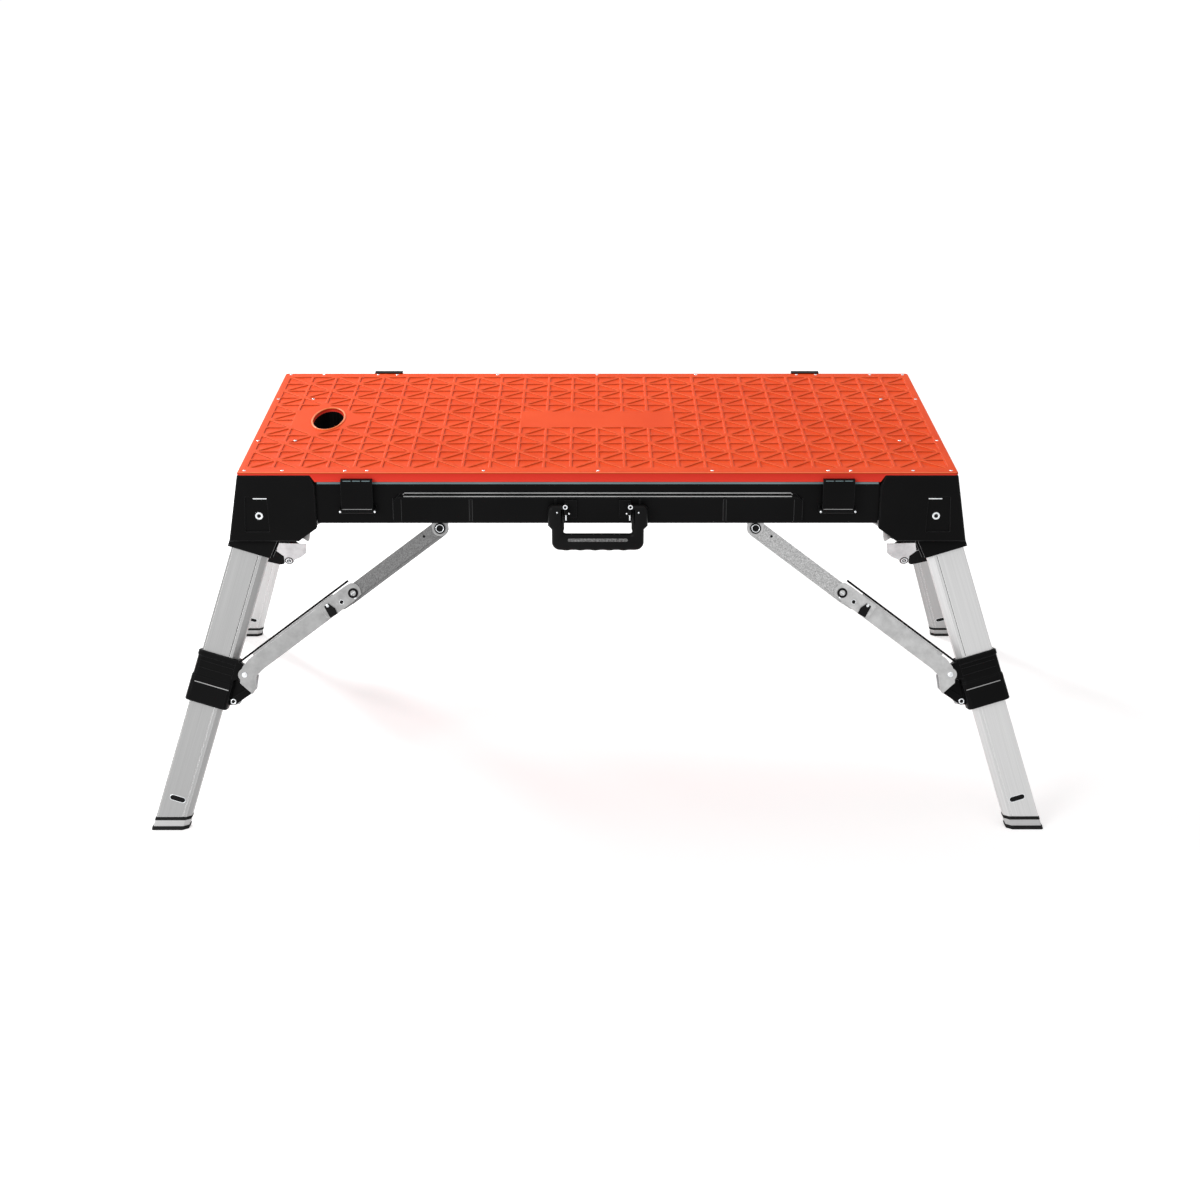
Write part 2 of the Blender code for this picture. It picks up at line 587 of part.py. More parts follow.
def extrusion(section, wall, s0, s1):
    """Hollow tube along the leg with a fine groove on both wide faces, beside the bevelled edge."""
    q = section[4][0] + GROOVE_Q
    t = section[4][1]
    top = [(q + GROOVE_HW, t), (q, t - GROOVE_DEEP), (q - GROOVE_HW, t)]
    under = [(x, -y) for x, y in reversed(top)]
    outer = section[:4] + top + section[4:8] + under
    return flat([outer, inset(section, wall)], -s1, -s0, SECTION_TURN)


collar_end = COLLAR_S + COLLAR_L
upper = extrusion(SECTION, TUBE_WALL, -TUBE_TOP, collar_end - TUBE_HOLD)
upper = cut(upper, rod(PIN_R + PIN_AIR, -PAST, PAST, Matrix.Identity(4)))
at_corners(placed(upper, LEG), "upper_tube", ALUMINIUM, A)

leg_len = A.z / -DIR_S.z
lock_s = collar_end - LOCK_BACK
slot_s = leg_len - SLOT_UP
lower = extrusion(LOWER, TUBE_WALL, lock_s - LOCK_OVER, leg_len + PAST)
for s in (slot_s, lock_s):
    lower = cut(lower, flat([stadium(SLOT_HL, SLOT_HW)], -PAST, PAST, Matrix.Translation((SLOT_Q, s, 0))))
lower = placed(lower, LEG)
ground = ((A.x - 1, A.x + 1), (A.y - 1, A.y + 1))
lower = cut(lower, box(*ground, (-1, SOLE + PAD_H + GASKET + GAP)))
at_corners(lower, "lower_tube", ALUMINIUM, A)

# Foot: sole, pad and seal cut level with the floor, on a plug inside the tube
SOLE_OUT = 0.0014        # sole outside the tube's section
PAD_OUT = 0.0002
GASKET_OUT = 0.0007
PLUG_L = 0.0420          # plug up the tube, from the floor
foot = None
rise = 0.0
for height, grow in ((SOLE, SOLE_OUT), (PAD_H, PAD_OUT), (GASKET, GASKET_OUT)):
    tier = flat([inset(LOWER, -grow)], -leg_len - PLUG_L, -leg_len + PLUG_L, LEG @ SECTION_TURN)
    tier = within(tier, box(*ground, (rise, rise + height)))
    foot = join(foot, tier) if foot else tier
    rise += height - BITE / 5
plug = flat([inset(LOWER, TUBE_WALL + GAP)], -leg_len - PLUG_L, -leg_len + PLUG_L, LEG @ SECTION_TURN)
plug = cut(plug, box(*ground, (-1, rise - BITE)))
at_corners(join(foot, plug), "foot", RUBBER, A)

# Collar: stepped moulding round both tubes, with the brace lug and the lever's lug on its inner side
COLLAR_R = 0.0065        # corner radius
TIERS = ((0.0, -0.0015, -0.0014), (0.0012, 0.0, -0.0002), (0.0080, 0.0, -0.0002), (0.0095, -0.0012, -0.0012),
         (0.0390, -0.0012, -0.0012), (0.0420, 0.0, 0.0), (COLLAR_L - 0.0015, 0.0, 0.0),
         (COLLAR_L, -0.0012, -0.0012))   # distance along the leg, then growth across and through it
BORE_AIR = 0.0004        # lower tube in the collar
ROOT = 0.0060            # how far the lugs start inside the collar's side
LUG_R = 0.0088
LUG_BELOW = 0.0190       # lug's root below the brace pivot
LUG_NECK = 0.0110        # its corner beside the pivot
LUG_ABOVE = 0.0140
LUG_IN = 0.0020          # lug's inner face through the leg
LUG_OUT = 0.0164         # and its outer face
LEVER_OUT = 0.0066       # lever's hinge off the collar's side
LEVER_UP = 0.0170        # collar's lower edge up to the lever's hinge
NOSE_R = 0.0060
NOSE_HT = 0.0050
NOSE_UP = 0.0110
NOSE_DOWN = 0.0120
LEVER_PIN_R = 0.0028
LEVER_PIN_OUT = 0.0094


def collar_ring(s, grow_w, grow_t):
    return [(q, s, n) for q, n in rounded(COLLAR_HW + grow_w, COLLAR_HT + grow_t, COLLAR_R, 2)]


root_q = -COLLAR_HW + ROOT
lever_q = -COLLAR_HW - LEVER_OUT
lever_s = collar_end - LEVER_UP
collar = loft([collar_ring(COLLAR_S + s, w, t) for s, w, t in TIERS])
lug = [(root_q, LUG_S - LUG_BELOW), (LUG_Q - LUG_IN, LUG_S - LUG_NECK)]
lug += arc(LUG_Q, LUG_S, LUG_R, 215, 90, 6) + [(root_q, LUG_S + LUG_ABOVE)]
nose = arc(lever_q, lever_s, NOSE_R, 240, 90, 6)
nose += [(root_q, lever_s + NOSE_UP), (root_q, lever_s - NOSE_DOWN)]
collar = join(collar, flat([lug], LUG_IN, LUG_OUT), flat([nose], -NOSE_HT, NOSE_HT))
hold_s = collar_end - TUBE_HOLD + GAP
bore_up = flat([inset(SECTION, -GAP)], -hold_s, PAST - COLLAR_S, SECTION_TURN)
bore_low = flat([inset(LOWER, -BORE_AIR)], -collar_end - PAST, BITE - hold_s, SECTION_TURN)
collar = cut(collar, bore_up, bore_low)
at_lug = Matrix.Translation((LUG_Q, LUG_S, 0))
at_lever = Matrix.Translation((lever_q, lever_s, 0))
rivet = rod(BRACE_PIN_R, ROOT, LOW_OUT + BITE / 5, at_lug)
lever_pin = rod(LEVER_PIN_R, -LEVER_PIN_OUT, LEVER_PIN_OUT, at_lever)
collar = join(collar, rivet, lever_pin)
at_corners(placed(collar, LEG), "collar", BLACK, A)

# Lock lever: two cheeks on the collar's nose, joined by a thumb bar
TIP_Q = -0.0185          # thumb bar from the hinge, across the leg
TIP_S = -0.0215          # and along it
HINGE_R = 0.0061
TIP_R = 0.0050
LEVER_IN = 0.0054        # inner and outer face of a cheek
LEVER_FACE = 0.0082
THUMB_HT = 0.0070
THUMB_R = 0.0049
LEVER_AIR = 0.0004
tip_q = lever_q + TIP_Q
tip_s = lever_s + TIP_S
lay = math.degrees(math.atan2(TIP_S, TIP_Q))
cheek = arc(lever_q, lever_s, HINGE_R, lay + 90, lay + 270, 6)
cheek += arc(tip_q, tip_s, TIP_R, lay - 90, lay + 90, 4)
thumb = arc(tip_q, tip_s, THUMB_R, lay - 110, lay + 110, 6)
lever = join(flat([cheek], LEVER_IN, LEVER_FACE), flat([cheek], -LEVER_FACE, -LEVER_IN),
             flat([thumb], -THUMB_HT, THUMB_HT))
lever = cut(lever, rod(LEVER_PIN_R + LEVER_AIR, -PAST, PAST, at_lever))
at_corners(placed(lever, LEG), "lever", BLACK, LEG @ Vector((lever_q, lever_s, 0)))

# Lower link: pressed strip with a set-back upper hem, and a broad end with a spur behind the collar pivot
LOW_UP = 0.0195          # pivot line to the upper edge
LOW_DN = 0.0105          # pivot line to the lower edge
PRESS = 0.0025           # sheet of the pressed links
HEM = 0.0058             # height of the upper hem
HEM_LIP = 0.0033         # its set-back upper part
HEM_BACK = 0.0018        # how far that is set back
LOW_START = 0.0300       # strip from the collar pivot
LOW_STOP = 0.0060        # strip short of the middle pivot
SPUR_UP = ((0.0400, 0.0160), (0.0210, 0.0165), (0.0060, 0.0125))
SPUR_DOWN = ((-0.0139, -0.0064), (-0.0086, -0.0322), (-0.0040, -0.0310), (0.0010, -0.0265), (0.0150, -0.0125),
             (0.0290, -LOW_DN), (0.0400, -LOW_DN))
TAIL_R = 0.0115
THROUGH = 0.0600         # reach of the brace's pin holes


def strip(profile, u0, u1, n0):
    """A pressed section in the link's height and thickness, run along the link from u0 to u1."""
    return flat([profile], u0, u1, Matrix(((0, 0, 1, 0), (1, 0, 0, 0), (0, 1, 0, n0), (0, 0, 0, 1))))


inner_n = LINK_T - PRESS
hem_v = LOW_UP - HEM
lip_v = LOW_UP - HEM_LIP
low_profile = [(-LOW_DN, 0), (-LOW_DN + PRESS, 0), (-LOW_DN + PRESS, inner_n), (hem_v, inner_n), (hem_v, 0),
               (LOW_UP, 0), (LOW_UP, LINK_T - HEM_BACK), (lip_v, LINK_T - HEM_BACK), (lip_v, LINK_T),
               (-LOW_DN, LINK_T)]
low_link = strip(low_profile, LOW_START, LINK - LOW_STOP, LOW_IN)
spur = list(SPUR_UP) + arc(0, 0, LOW_DN, 80, 190, 6) + list(SPUR_DOWN)
tail = [(LINK - 2 * LOW_STOP, -LOW_DN), (LINK, -LOW_DN)] + arc(LINK + BITE, BITE, TAIL_R, -75, 60, 6)
tail += [(LINK - 2 * LOW_STOP, lip_v)]
low_link = join(low_link, flat([spur], LOW_OUT - PRESS, LOW_OUT), flat([tail], LOW_OUT - PRESS, LOW_OUT))
low_link = cut(low_link, rod(BRACE_PIN_R + GAP, -PAST, THROUGH, Matrix.Identity(4)),
               rod(BRACE_PIN_R, -PAST, THROUGH, Matrix.Translation((LINK, 0, 0))))
at_corners(placed(low_link, LINK_LOW), "brace_lower", STEEL, LUG)

# Upper link: pressed strip with a stepped lower hem, round at the frame pivot
UP_HW = 0.0136           # half width
UP_HEM = 0.0050
UP_BACK = 0.0020
UP_START = 0.0040        # strip from the frame pivot
UP_STOP = 0.0120         # strip short of the middle pivot
SHY = 0.0002             # how far the rounded ends stay inside the strip's faces
TOE_R = 0.0125
MID_HOLE_R = 0.0030      # middle pivot's hole
up_profile = [(-UP_HW, 0), (-UP_HW + PRESS, 0), (-UP_HW + PRESS, inner_n), (UP_HW - PRESS, inner_n),
              (UP_HW - PRESS, 0), (UP_HW, 0), (UP_HW, LINK_T - UP_BACK), (UP_HW - UP_HEM, LINK_T - UP_BACK),
              (UP_HW - UP_HEM, LINK_T), (-UP_HW, LINK_T)]
up_link = strip(up_profile, UP_START, LINK - UP_STOP, UP_IN)
head_hw = UP_HW - SHY
head = arc(0, 0, head_hw, 90, 270, 8) + [(1.5 * UP_START, -head_hw), (1.5 * UP_START, head_hw)]
toe_u = LINK - UP_STOP - 2 * BITE
toe = [(toe_u, head_hw), (toe_u, -head_hw)] + arc(LINK, 0, TOE_R, -80, 80, 6)
up_link = join(up_link, flat([head], UP_IN, UP_OUT - SHY), flat([toe], UP_IN + SHY, UP_OUT - SHY))
up_link = cut(up_link, rod(BRACE_PIN_R + GAP, -PAST, THROUGH, Matrix.Identity(4)),
              rod(MID_HOLE_R, -PAST, THROUGH, Matrix.Translation((LINK, 0, 0))))
at_corners(placed(up_link, LINK_UP), "brace_upper", STEEL, EAR)

# Lock plate over the middle joint, with its slotted screw boss and spring catch
LOCK_T = 0.0020
GUARD_ROUND = (0.0220, 0.0030, 0.0150)   # centre and radius of its rounded end
GUARD_FOOT = ((-0.0300, -0.0105), (0.0180, -0.0105), (0.0330, -0.0085))
GUARD_HEAD = ((0.0180, 0.0175), (-0.0300, 0.0175), (-0.0340, 0.0135), (-0.0340, -0.0065))
BOSS_AT = (0.0235, 0.0005)
BOSS_R = 0.0058
BOSS_UP = 0.0022         # boss over the plate
BOSS_TURN = 0.9          # radians: how the screw's slot lies
SLIT_HL = 0.0075
SLIT_HW = 0.0007
CATCH = ((-0.0290, -0.0085), (-0.0170, -0.0105), (-0.0150, -0.0010), (-0.0190, 0.0105), (-0.0260, 0.0105))
CATCH_UP = 0.0026
lock_in = UP_OUT + GAP
lock_out = lock_in + LOCK_T
guard = list(GUARD_FOOT) + arc(*GUARD_ROUND, -35, 62, 6) + list(GUARD_HEAD)
at_boss = Matrix.Translation((*BOSS_AT, 0)) @ Matrix.Rotation(BOSS_TURN, 4, "Z")
guard = join(flat([guard], lock_in, lock_out), rod(BOSS_R, lock_in + LOCK_T / 4, lock_out + BOSS_UP, at_boss),
             flat([CATCH], lock_in + LOCK_T / 4, lock_out + CATCH_UP))
slit = [(-SLIT_HL, -SLIT_HW), (SLIT_HL, -SLIT_HW), (SLIT_HL, SLIT_HW), (-SLIT_HL, SLIT_HW)]
guard = cut(guard, rod(MID_HOLE_R, 0, THROUGH, Matrix.Identity(4)),
            flat([slit], lock_out + BOSS_UP / 2, lock_out + PAST, at_boss))
at_corners(placed(guard, LINK_MID), "brace_lock", STEEL, EAR)

# Ear that carries the brace, hung from the frame's pad, and its flanged pin
EAR_R = 0.0125
EAR_HW = 0.0165          # half width at the frame
EAR_NECK = 0.45          # share of its height where it has widened
EAR_TOP = 0.0060         # skirt's bottom to the ear's top
EAR_PIN_OUT = 0.0030
EAR_FLANGE_R = 0.0078
rise = (EAR - A).dot(DIR_W) + (seat - EAR_TOP - A.z - EAR_OUT * DIR_N.z) / -DIR_W.z
ear = arc(0, 0, EAR_R, 0, 180, 8) + [(-EAR_HW, -rise * EAR_NECK), (-EAR_HW, -rise), (EAR_HW, -rise),
                                     (EAR_HW, -rise * EAR_NECK)]
ear = cut(flat([ear], EAR_IN, EAR_OUT), rod(BRACE_PIN_R + GAP, 0, THROUGH, Matrix.Identity(4)))
to_ear = frame_matrix(EAR, DIR_X, DIR_W, DIR_N)
at_corners(placed(ear, to_ear), "brace_ear", STEEL)
ear_pin = join(rod(BRACE_PIN_R, UP_IN - GAP, EAR_OUT + EAR_PIN_OUT, to_ear),
               rod(EAR_FLANGE_R, EAR_OUT + GAP, EAR_OUT + EAR_PIN_OUT, to_ear))
at_corners(ear_pin, "brace_pin", STEEL, EAR)

# Edge latches, rolled round their pins: the front pair hooks into the skirt, the rear pair over the top
LATCH_T = 0.0045
LATCH_FOOT = 0.0030      # upright plate above the pivot
LATCH_CHAMFER = 0.0015
HOOK_UP = 0.0025         # rear latch above the working surface
HOOK_T = 0.0022
HOOK_IN = 0.0040         # rear hook inside the top's edge
latch_face = latch_y + LATCH_R
latch_back = latch_face - LATCH_T
latch_ends = (latch_x - LATCH_W / 2, latch_x + LATCH_W / 2)
stub = LATCH_W / 2 + STUB_L
low_hook = (-1, HEIGHT - LATCH_DROP, LIP_T, HY - LIP_IN)
high_hook = (1, HEIGHT + HOOK_UP, HOOK_T, HY - HOOK_IN)
for side, top, thick, hook in (low_hook, high_hook):
    bend = [(latch_back, latch_z + LATCH_FOOT), (latch_back, top - thick), (hook, top - thick), (hook, top),
            (latch_face - LATCH_CHAMFER, top), (latch_face, top - LATCH_CHAMFER),
            (latch_face, latch_z + LATCH_FOOT)]
    roll = arc(latch_y, latch_z, LATCH_R, 0, 330, 11)
    latch = join(flat([bend], *latch_ends, ALONG_X), flat([roll], *latch_ends, ALONG_X),
                 rod(STUB_R, latch_x - stub, latch_x + stub, latch_at, 10))
    at_corners(latch, "latch", BLACK, (latch_x, latch_y, latch_z), (side,))

# Carry handle: swinging loop with a finger-ribbed grip
HANDLE_HW = 0.0723       # half width over the handle's legs
HANDLE_LEG = 0.0190      # width of a handle leg
HANDLE_PIVOT_DROP = 0.0610
HANDLE_DROP = 0.0675     # pivot to the grip's underside
HANDLE_OUT = 0.0035      # top's edge to the handle's back
HANDLE_BEVEL = 0.0028
GRIP_H = 0.0240
GRIP_T = 0.0150
RIDGE_HW = 0.0450        # half length of the ribbed part
RIDGE_PITCH = 0.0180
RIDGE_DEEP = 0.0016
RIDGE_STEPS = 20
ELBOW_R = 0.0130         # lower corners
HEAD_R = 0.0080          # upper corners
THROAT = 0.0060          # chamfer inside the opening
GUDGEON_R = 0.0034
hz = HEIGHT - HANDLE_PIVOT_DROP
hy = -(HY + HANDLE_OUT + GRIP_T / 2)
inner = HANDLE_HW - HANDLE_LEG
grip_low = hz - HANDLE_DROP
grip_top = grip_low + GRIP_H
loop = []
for i in range(RIDGE_STEPS + 1):
    along = 2 * RIDGE_HW * i / RIDGE_STEPS
    dip = RIDGE_DEEP * (1 - math.cos(2 * math.pi * along / RIDGE_PITCH)) / 2
    loop.append((along - RIDGE_HW, grip_low + dip))
loop += arc(HANDLE_HW - ELBOW_R, grip_low + ELBOW_R, ELBOW_R, -90, 0, 4)
loop += arc(HANDLE_HW - HEAD_R, hz, HEAD_R, 0, 90, 3) + arc(inner + HEAD_R, hz, HEAD_R, 90, 180, 3)
loop += [(inner, grip_top + THROAT), (inner - THROAT, grip_top), (-inner + THROAT, grip_top),
         (-inner, grip_top + THROAT)]
loop += arc(-inner - HEAD_R, hz, HEAD_R, 0, 90, 3) + arc(-HANDLE_HW + HEAD_R, hz, HEAD_R, 90, 180, 3)
loop += arc(-HANDLE_HW + ELBOW_R, grip_low + ELBOW_R, ELBOW_R, 180, 270, 4)
handle = flat([loop], -hy - GRIP_T / 2, -hy + GRIP_T / 2, FROM_REAR)
handle = bevel(handle, HANDLE_BEVEL, 1, 50)
bar = Matrix.Translation((0, hy, hz)) @ Matrix.Rotation(math.pi / 2, 4, "Y")
for x0, x1 in ((-HANDLE_HW - PAST, -inner + PAST), (inner - PAST, HANDLE_HW + PAST)):
    handle = cut(handle, rod(GUDGEON_R + GAP, x0, x1, bar, 16))
emit(handle, "handle", BLACK, (0, hy, hz))

# Handle mounts: screwed plates on the front apron, each with an ear and a pin that runs into a handle leg
TAB_T = 0.0040
TAB_AIR = 0.0008         # ear to handle leg
TAB_R = 0.0070
TAB_FOOT = 0.0120        # half height of the ear at the apron
FOOT_W = 0.0185
FOOT_T = 0.0030
FOOT_DOWN = 0.0140
FOOT_UP = 0.0155
PIN_SHORT = 0.0020       # pin short of the handle's outer face
for tag, s in (("left", -1), ("right", 1)):
    ear_x = sorted((s * (inner - TAB_AIR), s * (inner - TAB_AIR - TAB_T)))
    ear = arc(hy, hz, TAB_R, 90, 270, 8) + [(-HY - PANEL_IN, hz - TAB_FOOT), (-HY - PANEL_IN, hz + TAB_FOOT)]
    pin_x = sorted((s * (inner - TAB_T), s * (HANDLE_HW - PIN_SHORT)))
    foot_x = sorted((s * (inner - BITE - FOOT_W), s * (inner - BITE)))
    foot = box(foot_x, (-HY - PANEL_IN - FOOT_T, -HY - PANEL_IN / 2), (hz - FOOT_DOWN, hz + FOOT_UP))
    mount = join(flat([ear], *ear_x, ALONG_X), rod(GUDGEON_R, *pin_x, bar, 16), foot)
    emit(mount, f"handle_mount_{tag}", BLACK)

for ob in list(cutters.objects):
    bpy.data.objects.remove(ob, do_unlink=True)
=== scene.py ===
import json
import math

import bmesh
import bpy
import numpy as np
from mathutils import Matrix, Vector


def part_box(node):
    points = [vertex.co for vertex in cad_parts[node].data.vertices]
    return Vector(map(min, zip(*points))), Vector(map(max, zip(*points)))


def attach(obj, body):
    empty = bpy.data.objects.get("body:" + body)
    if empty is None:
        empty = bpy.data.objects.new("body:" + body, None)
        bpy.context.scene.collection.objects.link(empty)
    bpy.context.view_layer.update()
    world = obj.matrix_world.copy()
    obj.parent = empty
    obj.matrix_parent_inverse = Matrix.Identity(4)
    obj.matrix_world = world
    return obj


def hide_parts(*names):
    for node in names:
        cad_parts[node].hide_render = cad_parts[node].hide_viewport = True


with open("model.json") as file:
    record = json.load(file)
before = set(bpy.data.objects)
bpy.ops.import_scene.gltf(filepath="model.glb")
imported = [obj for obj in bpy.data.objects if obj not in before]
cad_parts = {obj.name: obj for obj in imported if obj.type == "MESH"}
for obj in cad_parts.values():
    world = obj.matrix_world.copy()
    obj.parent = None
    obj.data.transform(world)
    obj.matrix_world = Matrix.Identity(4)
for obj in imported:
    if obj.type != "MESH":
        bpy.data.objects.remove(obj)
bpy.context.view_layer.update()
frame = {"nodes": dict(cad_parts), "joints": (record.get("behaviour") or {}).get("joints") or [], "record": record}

nodes = frame["nodes"]

# Camera, floor and light
# The camera stands in front of the bench, a little above it, level with its middle.
# A wide pale floor runs out under a plain white sky, with one lamp from behind on the left and two soft ones.
scene = bpy.context.scene
scene.view_settings.view_transform = "Standard"
LENS_PX = 2028.8         # focal length in pixels of the square photograph
PHOTO_PX = 1200
SKY = 0.42               # what the sky gives the surfaces; seen directly it is white
FLOOR_HALF = 30.0
camera_data = bpy.data.cameras.new("camera")
camera_data.sensor_width = 36.0
camera_data.lens = LENS_PX / PHOTO_PX * camera_data.sensor_width
camera = bpy.data.objects.new("camera", camera_data)
camera.location = (-0.0099, -3.3150, 1.6067)
camera.rotation_euler = (math.radians(90 - 22.46), math.radians(-0.07), math.radians(-0.227))
scene.collection.objects.link(camera)
scene.camera = camera


def soft_lamp(name, place, target, size, power):
    """Square area lamp at a place, turned to a target."""
    data = bpy.data.lights.new(name, "AREA")
    data.shape = "SQUARE"
    data.size = size
    data.energy = power
    lamp = bpy.data.objects.new(name, data)
    lamp.location = place
    aim = Vector(target) - Vector(place)
    lamp.rotation_euler = aim.to_track_quat("-Z", "Y").to_euler()
    scene.collection.objects.link(lamp)


soft_lamp("behind_left", (-2.2, 2.2, 2.4), (0, 0, 0.5), 0.8, 84)
soft_lamp("overhead", (0.3, -0.2, 3.4), (0, 0, 0.4), 2.4, 14)
soft_lamp("front_left", (-2.6, -3.0, 2.2), (0, 0, 0.4), 1.8, 60)


def add_node(tree, kind, **values):
    """A new node in a tree, with its settings and unlinked inputs given by name."""
    node = tree.nodes.new(kind)
    for key, value in values.items():
        if hasattr(node, key):
            setattr(node, key, value)
        else:
            node.inputs[key.replace("_", " ")].default_value = value
    return node


def new_material(name):
    """A material with its Principled shader, and short calls to add and join nodes."""
    material = bpy.data.materials.new(name)
    material.use_nodes = True
    tree = material.node_tree

    def add(kind, **values):
        return add_node(tree, kind, **values)

    def link(a, out, b, into):
        tree.links.new(a.outputs[out], b.inputs[into])

    return material, tree.nodes["Principled BSDF"], add, link


def seen_directly(add, link):
    """One for camera, glossy and transmission rays, zero for the rays that light a surface."""
    path = add("ShaderNodeLightPath")
    either = add("ShaderNodeMath", operation="MAXIMUM")
    any_of = add("ShaderNodeMath", operation="MAXIMUM")
    link(path, "Is Camera Ray", either, 0)
    link(path, "Is Glossy Ray", either, 1)
    link(either, "Value", any_of, 0)
    link(path, "Is Transmission Ray", any_of, 1)
    return any_of


world = bpy.data.worlds.new("studio")
world.use_nodes = True
scene.world = world
sky_tree = world.node_tree
sky_add = lambda kind, **values: add_node(sky_tree, kind, **values)
sky_link = lambda a, out, b, into: sky_tree.links.new(a.outputs[out], b.inputs[into])
direct = seen_directly(sky_add, sky_link)
strength = sky_add("ShaderNodeMapRange", To_Min=SKY, To_Max=1.0)
background = sky_tree.nodes["Background"]
background.inputs["Color"].default_value = (1, 1, 1, 1)
sky_link(direct, "Value", strength, "Value")
sky_link(strength, "Result", background, "Strength")

floor_mesh = bpy.data.meshes.new("floor")
floor_mesh.from_pydata([(-FLOOR_HALF, -FLOOR_HALF, 0), (FLOOR_HALF, -FLOOR_HALF, 0),
                        (FLOOR_HALF, FLOOR_HALF, 0), (-FLOOR_HALF, FLOOR_HALF, 0)], [], [(0, 1, 2, 3)])
floor = bpy.data.objects.new("floor", floor_mesh)
scene.collection.objects.link(floor)
pale, shader, add, link = new_material("pale_floor")
shader.inputs["Base Color"].default_value = (0.80, 0.80, 0.80, 1)
shader.inputs["Roughness"].default_value = 0.9
shader.inputs["Specular IOR Level"].default_value = 0.0
shader.inputs["Emission Color"].default_value = (1, 1, 1, 1)
place = add("ShaderNodeTexCoord")
away = add("ShaderNodeVectorMath", operation="LENGTH")
paling = add("ShaderNodeMapRange", From_Min=1.5, From_Max=6.0, To_Min=0.52, To_Max=0.70)
direct = seen_directly(add, link)
glow = add("ShaderNodeMath", operation="MULTIPLY")
link(place, "Object", away, 0)
link(away, "Value", paling, "Value")
link(paling, "Result", glow, 0)
link(direct, "Value", glow, 1)
link(glow, "Value", shader, "Emission Strength")
floor_mesh.materials.append(pale)

# Top deck
# One moulded plate of tough orange plastic, with a rolled edge and a turned-down skirt.
# Ribs at the level of the margin cross it as a lattice and leave triangular pits between them.
# It is screwed down along its edges, and its middle stays bare.
work_z = frame["record"]["mounts"][0]["pos_m"][2]
deck_low, deck_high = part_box("top_panel")
deck_x, deck_y, skirt_z = deck_high[0], deck_high[1], deck_low[2]
PLATE = 0.005
MERGE = 0.00002          # points closer than this are one
CELL = 0.043             # spacing of the straight ribs
CELLS_X, CELLS_Y = 26, 12
STRAIGHT_RIB = 0.0030    # width of the ribs along and across the bench
SLANT_RIB = 0.0050       # width of the ribs at 45 degrees
PIT = 0.0020             # depth of the pits
PIT_RINGS = ((0.0, 0.0, 0.0030), (0.00025, 0.0004, 0.0028), (0.0008, PIT * 0.86, 0.0024),
             (0.0016, PIT, 0.0020))      # inset, depth and corner rounding of each loop down a pit
BARE_X, BARE_Y = 3, 1    # the bare middle, in cells each way from the centre
HOLE_X, HOLE_HW, HOLE_HL = -0.458, 0.0250, 0.0600
HOLE_MARGIN = 0.0062     # flat band round the hand hole
CORNER_R = 0.0060
EDGE_R = 0.0026          # rolled edge
SKIRT_T = 0.0030
SKIRT_EASE = 0.0006      # chamfer of the skirt's bottom
BRACKET_X, BRACKET_Y = 0.4475, 0.1898    # inner edges of the corner brackets
RAMP = 0.0072            # length of the skirt's step up over a bracket
RAMP_STEP = 0.0015       # spacing of the edge's points along that step
JUMP = 0.0004            # half length of the sudden step on the two ends
PLAIN_X, PLAIN_Y = 0.42, 0.12            # how far the plain stretches of the edge reach
HOLE_LIP = ((0.0034, 0.0), (0.0032, 0.0007), (0.0024, 0.0012), (0.0014, 0.0012), (0.0004, 0.0006),
            (0.0, -0.0004), (0.0, -PLATE))       # growth and rise of each ring round the hand hole


def mesh_from(name, verts, faces):
    """A mesh from arrays of points and faces, with touching points merged and faces turned outward."""
    mesh = bpy.data.meshes.new(name)
    mesh.from_pydata(np.asarray(verts).reshape(-1, 3).tolist(), [], faces)
    shape = bmesh.new()
    shape.from_mesh(mesh)
    bmesh.ops.remove_doubles(shape, verts=shape.verts, dist=MERGE)
    bmesh.ops.recalc_face_normals(shape, faces=shape.faces)
    shape.to_mesh(mesh)
    shape.free()
    return mesh


def piece(name, shape, material, body, sharp=35):
    """Shows points and faces as a piece, smooth between its sharp edges, riding on a body."""
    mesh = mesh_from(name, *shape)
    mesh.shade_smooth()
    mesh.set_sharp_from_angle(angle=math.radians(sharp))
    mesh.materials.append(material)
    made = bpy.data.objects.new(name, mesh)
    scene.collection.objects.link(made)
    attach(made, body)
    return made


def bands(rows, count, ring_closed=False):
    """Quads between successive rings of points: ring r, column c joins ring r + 1, column c + 1."""
    row, column = np.meshgrid(np.arange(rows if ring_closed else rows - 1), np.arange(count), indexing="ij")
    after, above = (column + 1) % count, (row + 1) % rows
    quads = np.stack([row * count + column, row * count + after, above * count + after,
                      above * count + column], axis=-1)
    return quads.reshape(-1, 4).tolist()


def filled(loops, z):
    """A flat face at height z bounded by the first loop, with the other loops as holes."""
    curve = bpy.data.curves.new("fill", "CURVE")
    curve.dimensions = "2D"
    curve.fill_mode = "BOTH"
    for loop in loops:
        spline = curve.splines.new("POLY")
        spline.points.add(len(loop) - 1)
        flat = np.zeros((len(loop), 4))
        flat[:, :2] = loop
        flat[:, 3] = 1
        spline.points.foreach_set("co", flat.ravel())
        spline.use_cyclic_u = True
    holder = bpy.data.objects.new("fill", curve)
    scene.collection.objects.link(holder)
    bpy.context.view_layer.update()
    mesh = bpy.data.meshes.new_from_object(holder.evaluated_get(bpy.context.evaluated_depsgraph_get()))
    bpy.data.objects.remove(holder, do_unlink=True)
    verts = np.zeros(len(mesh.vertices) * 3)
    mesh.vertices.foreach_get("co", verts)
    verts = verts.reshape(-1, 3)
    verts[:, 2] = z
    return verts, [list(face.vertices) for face in mesh.polygons]


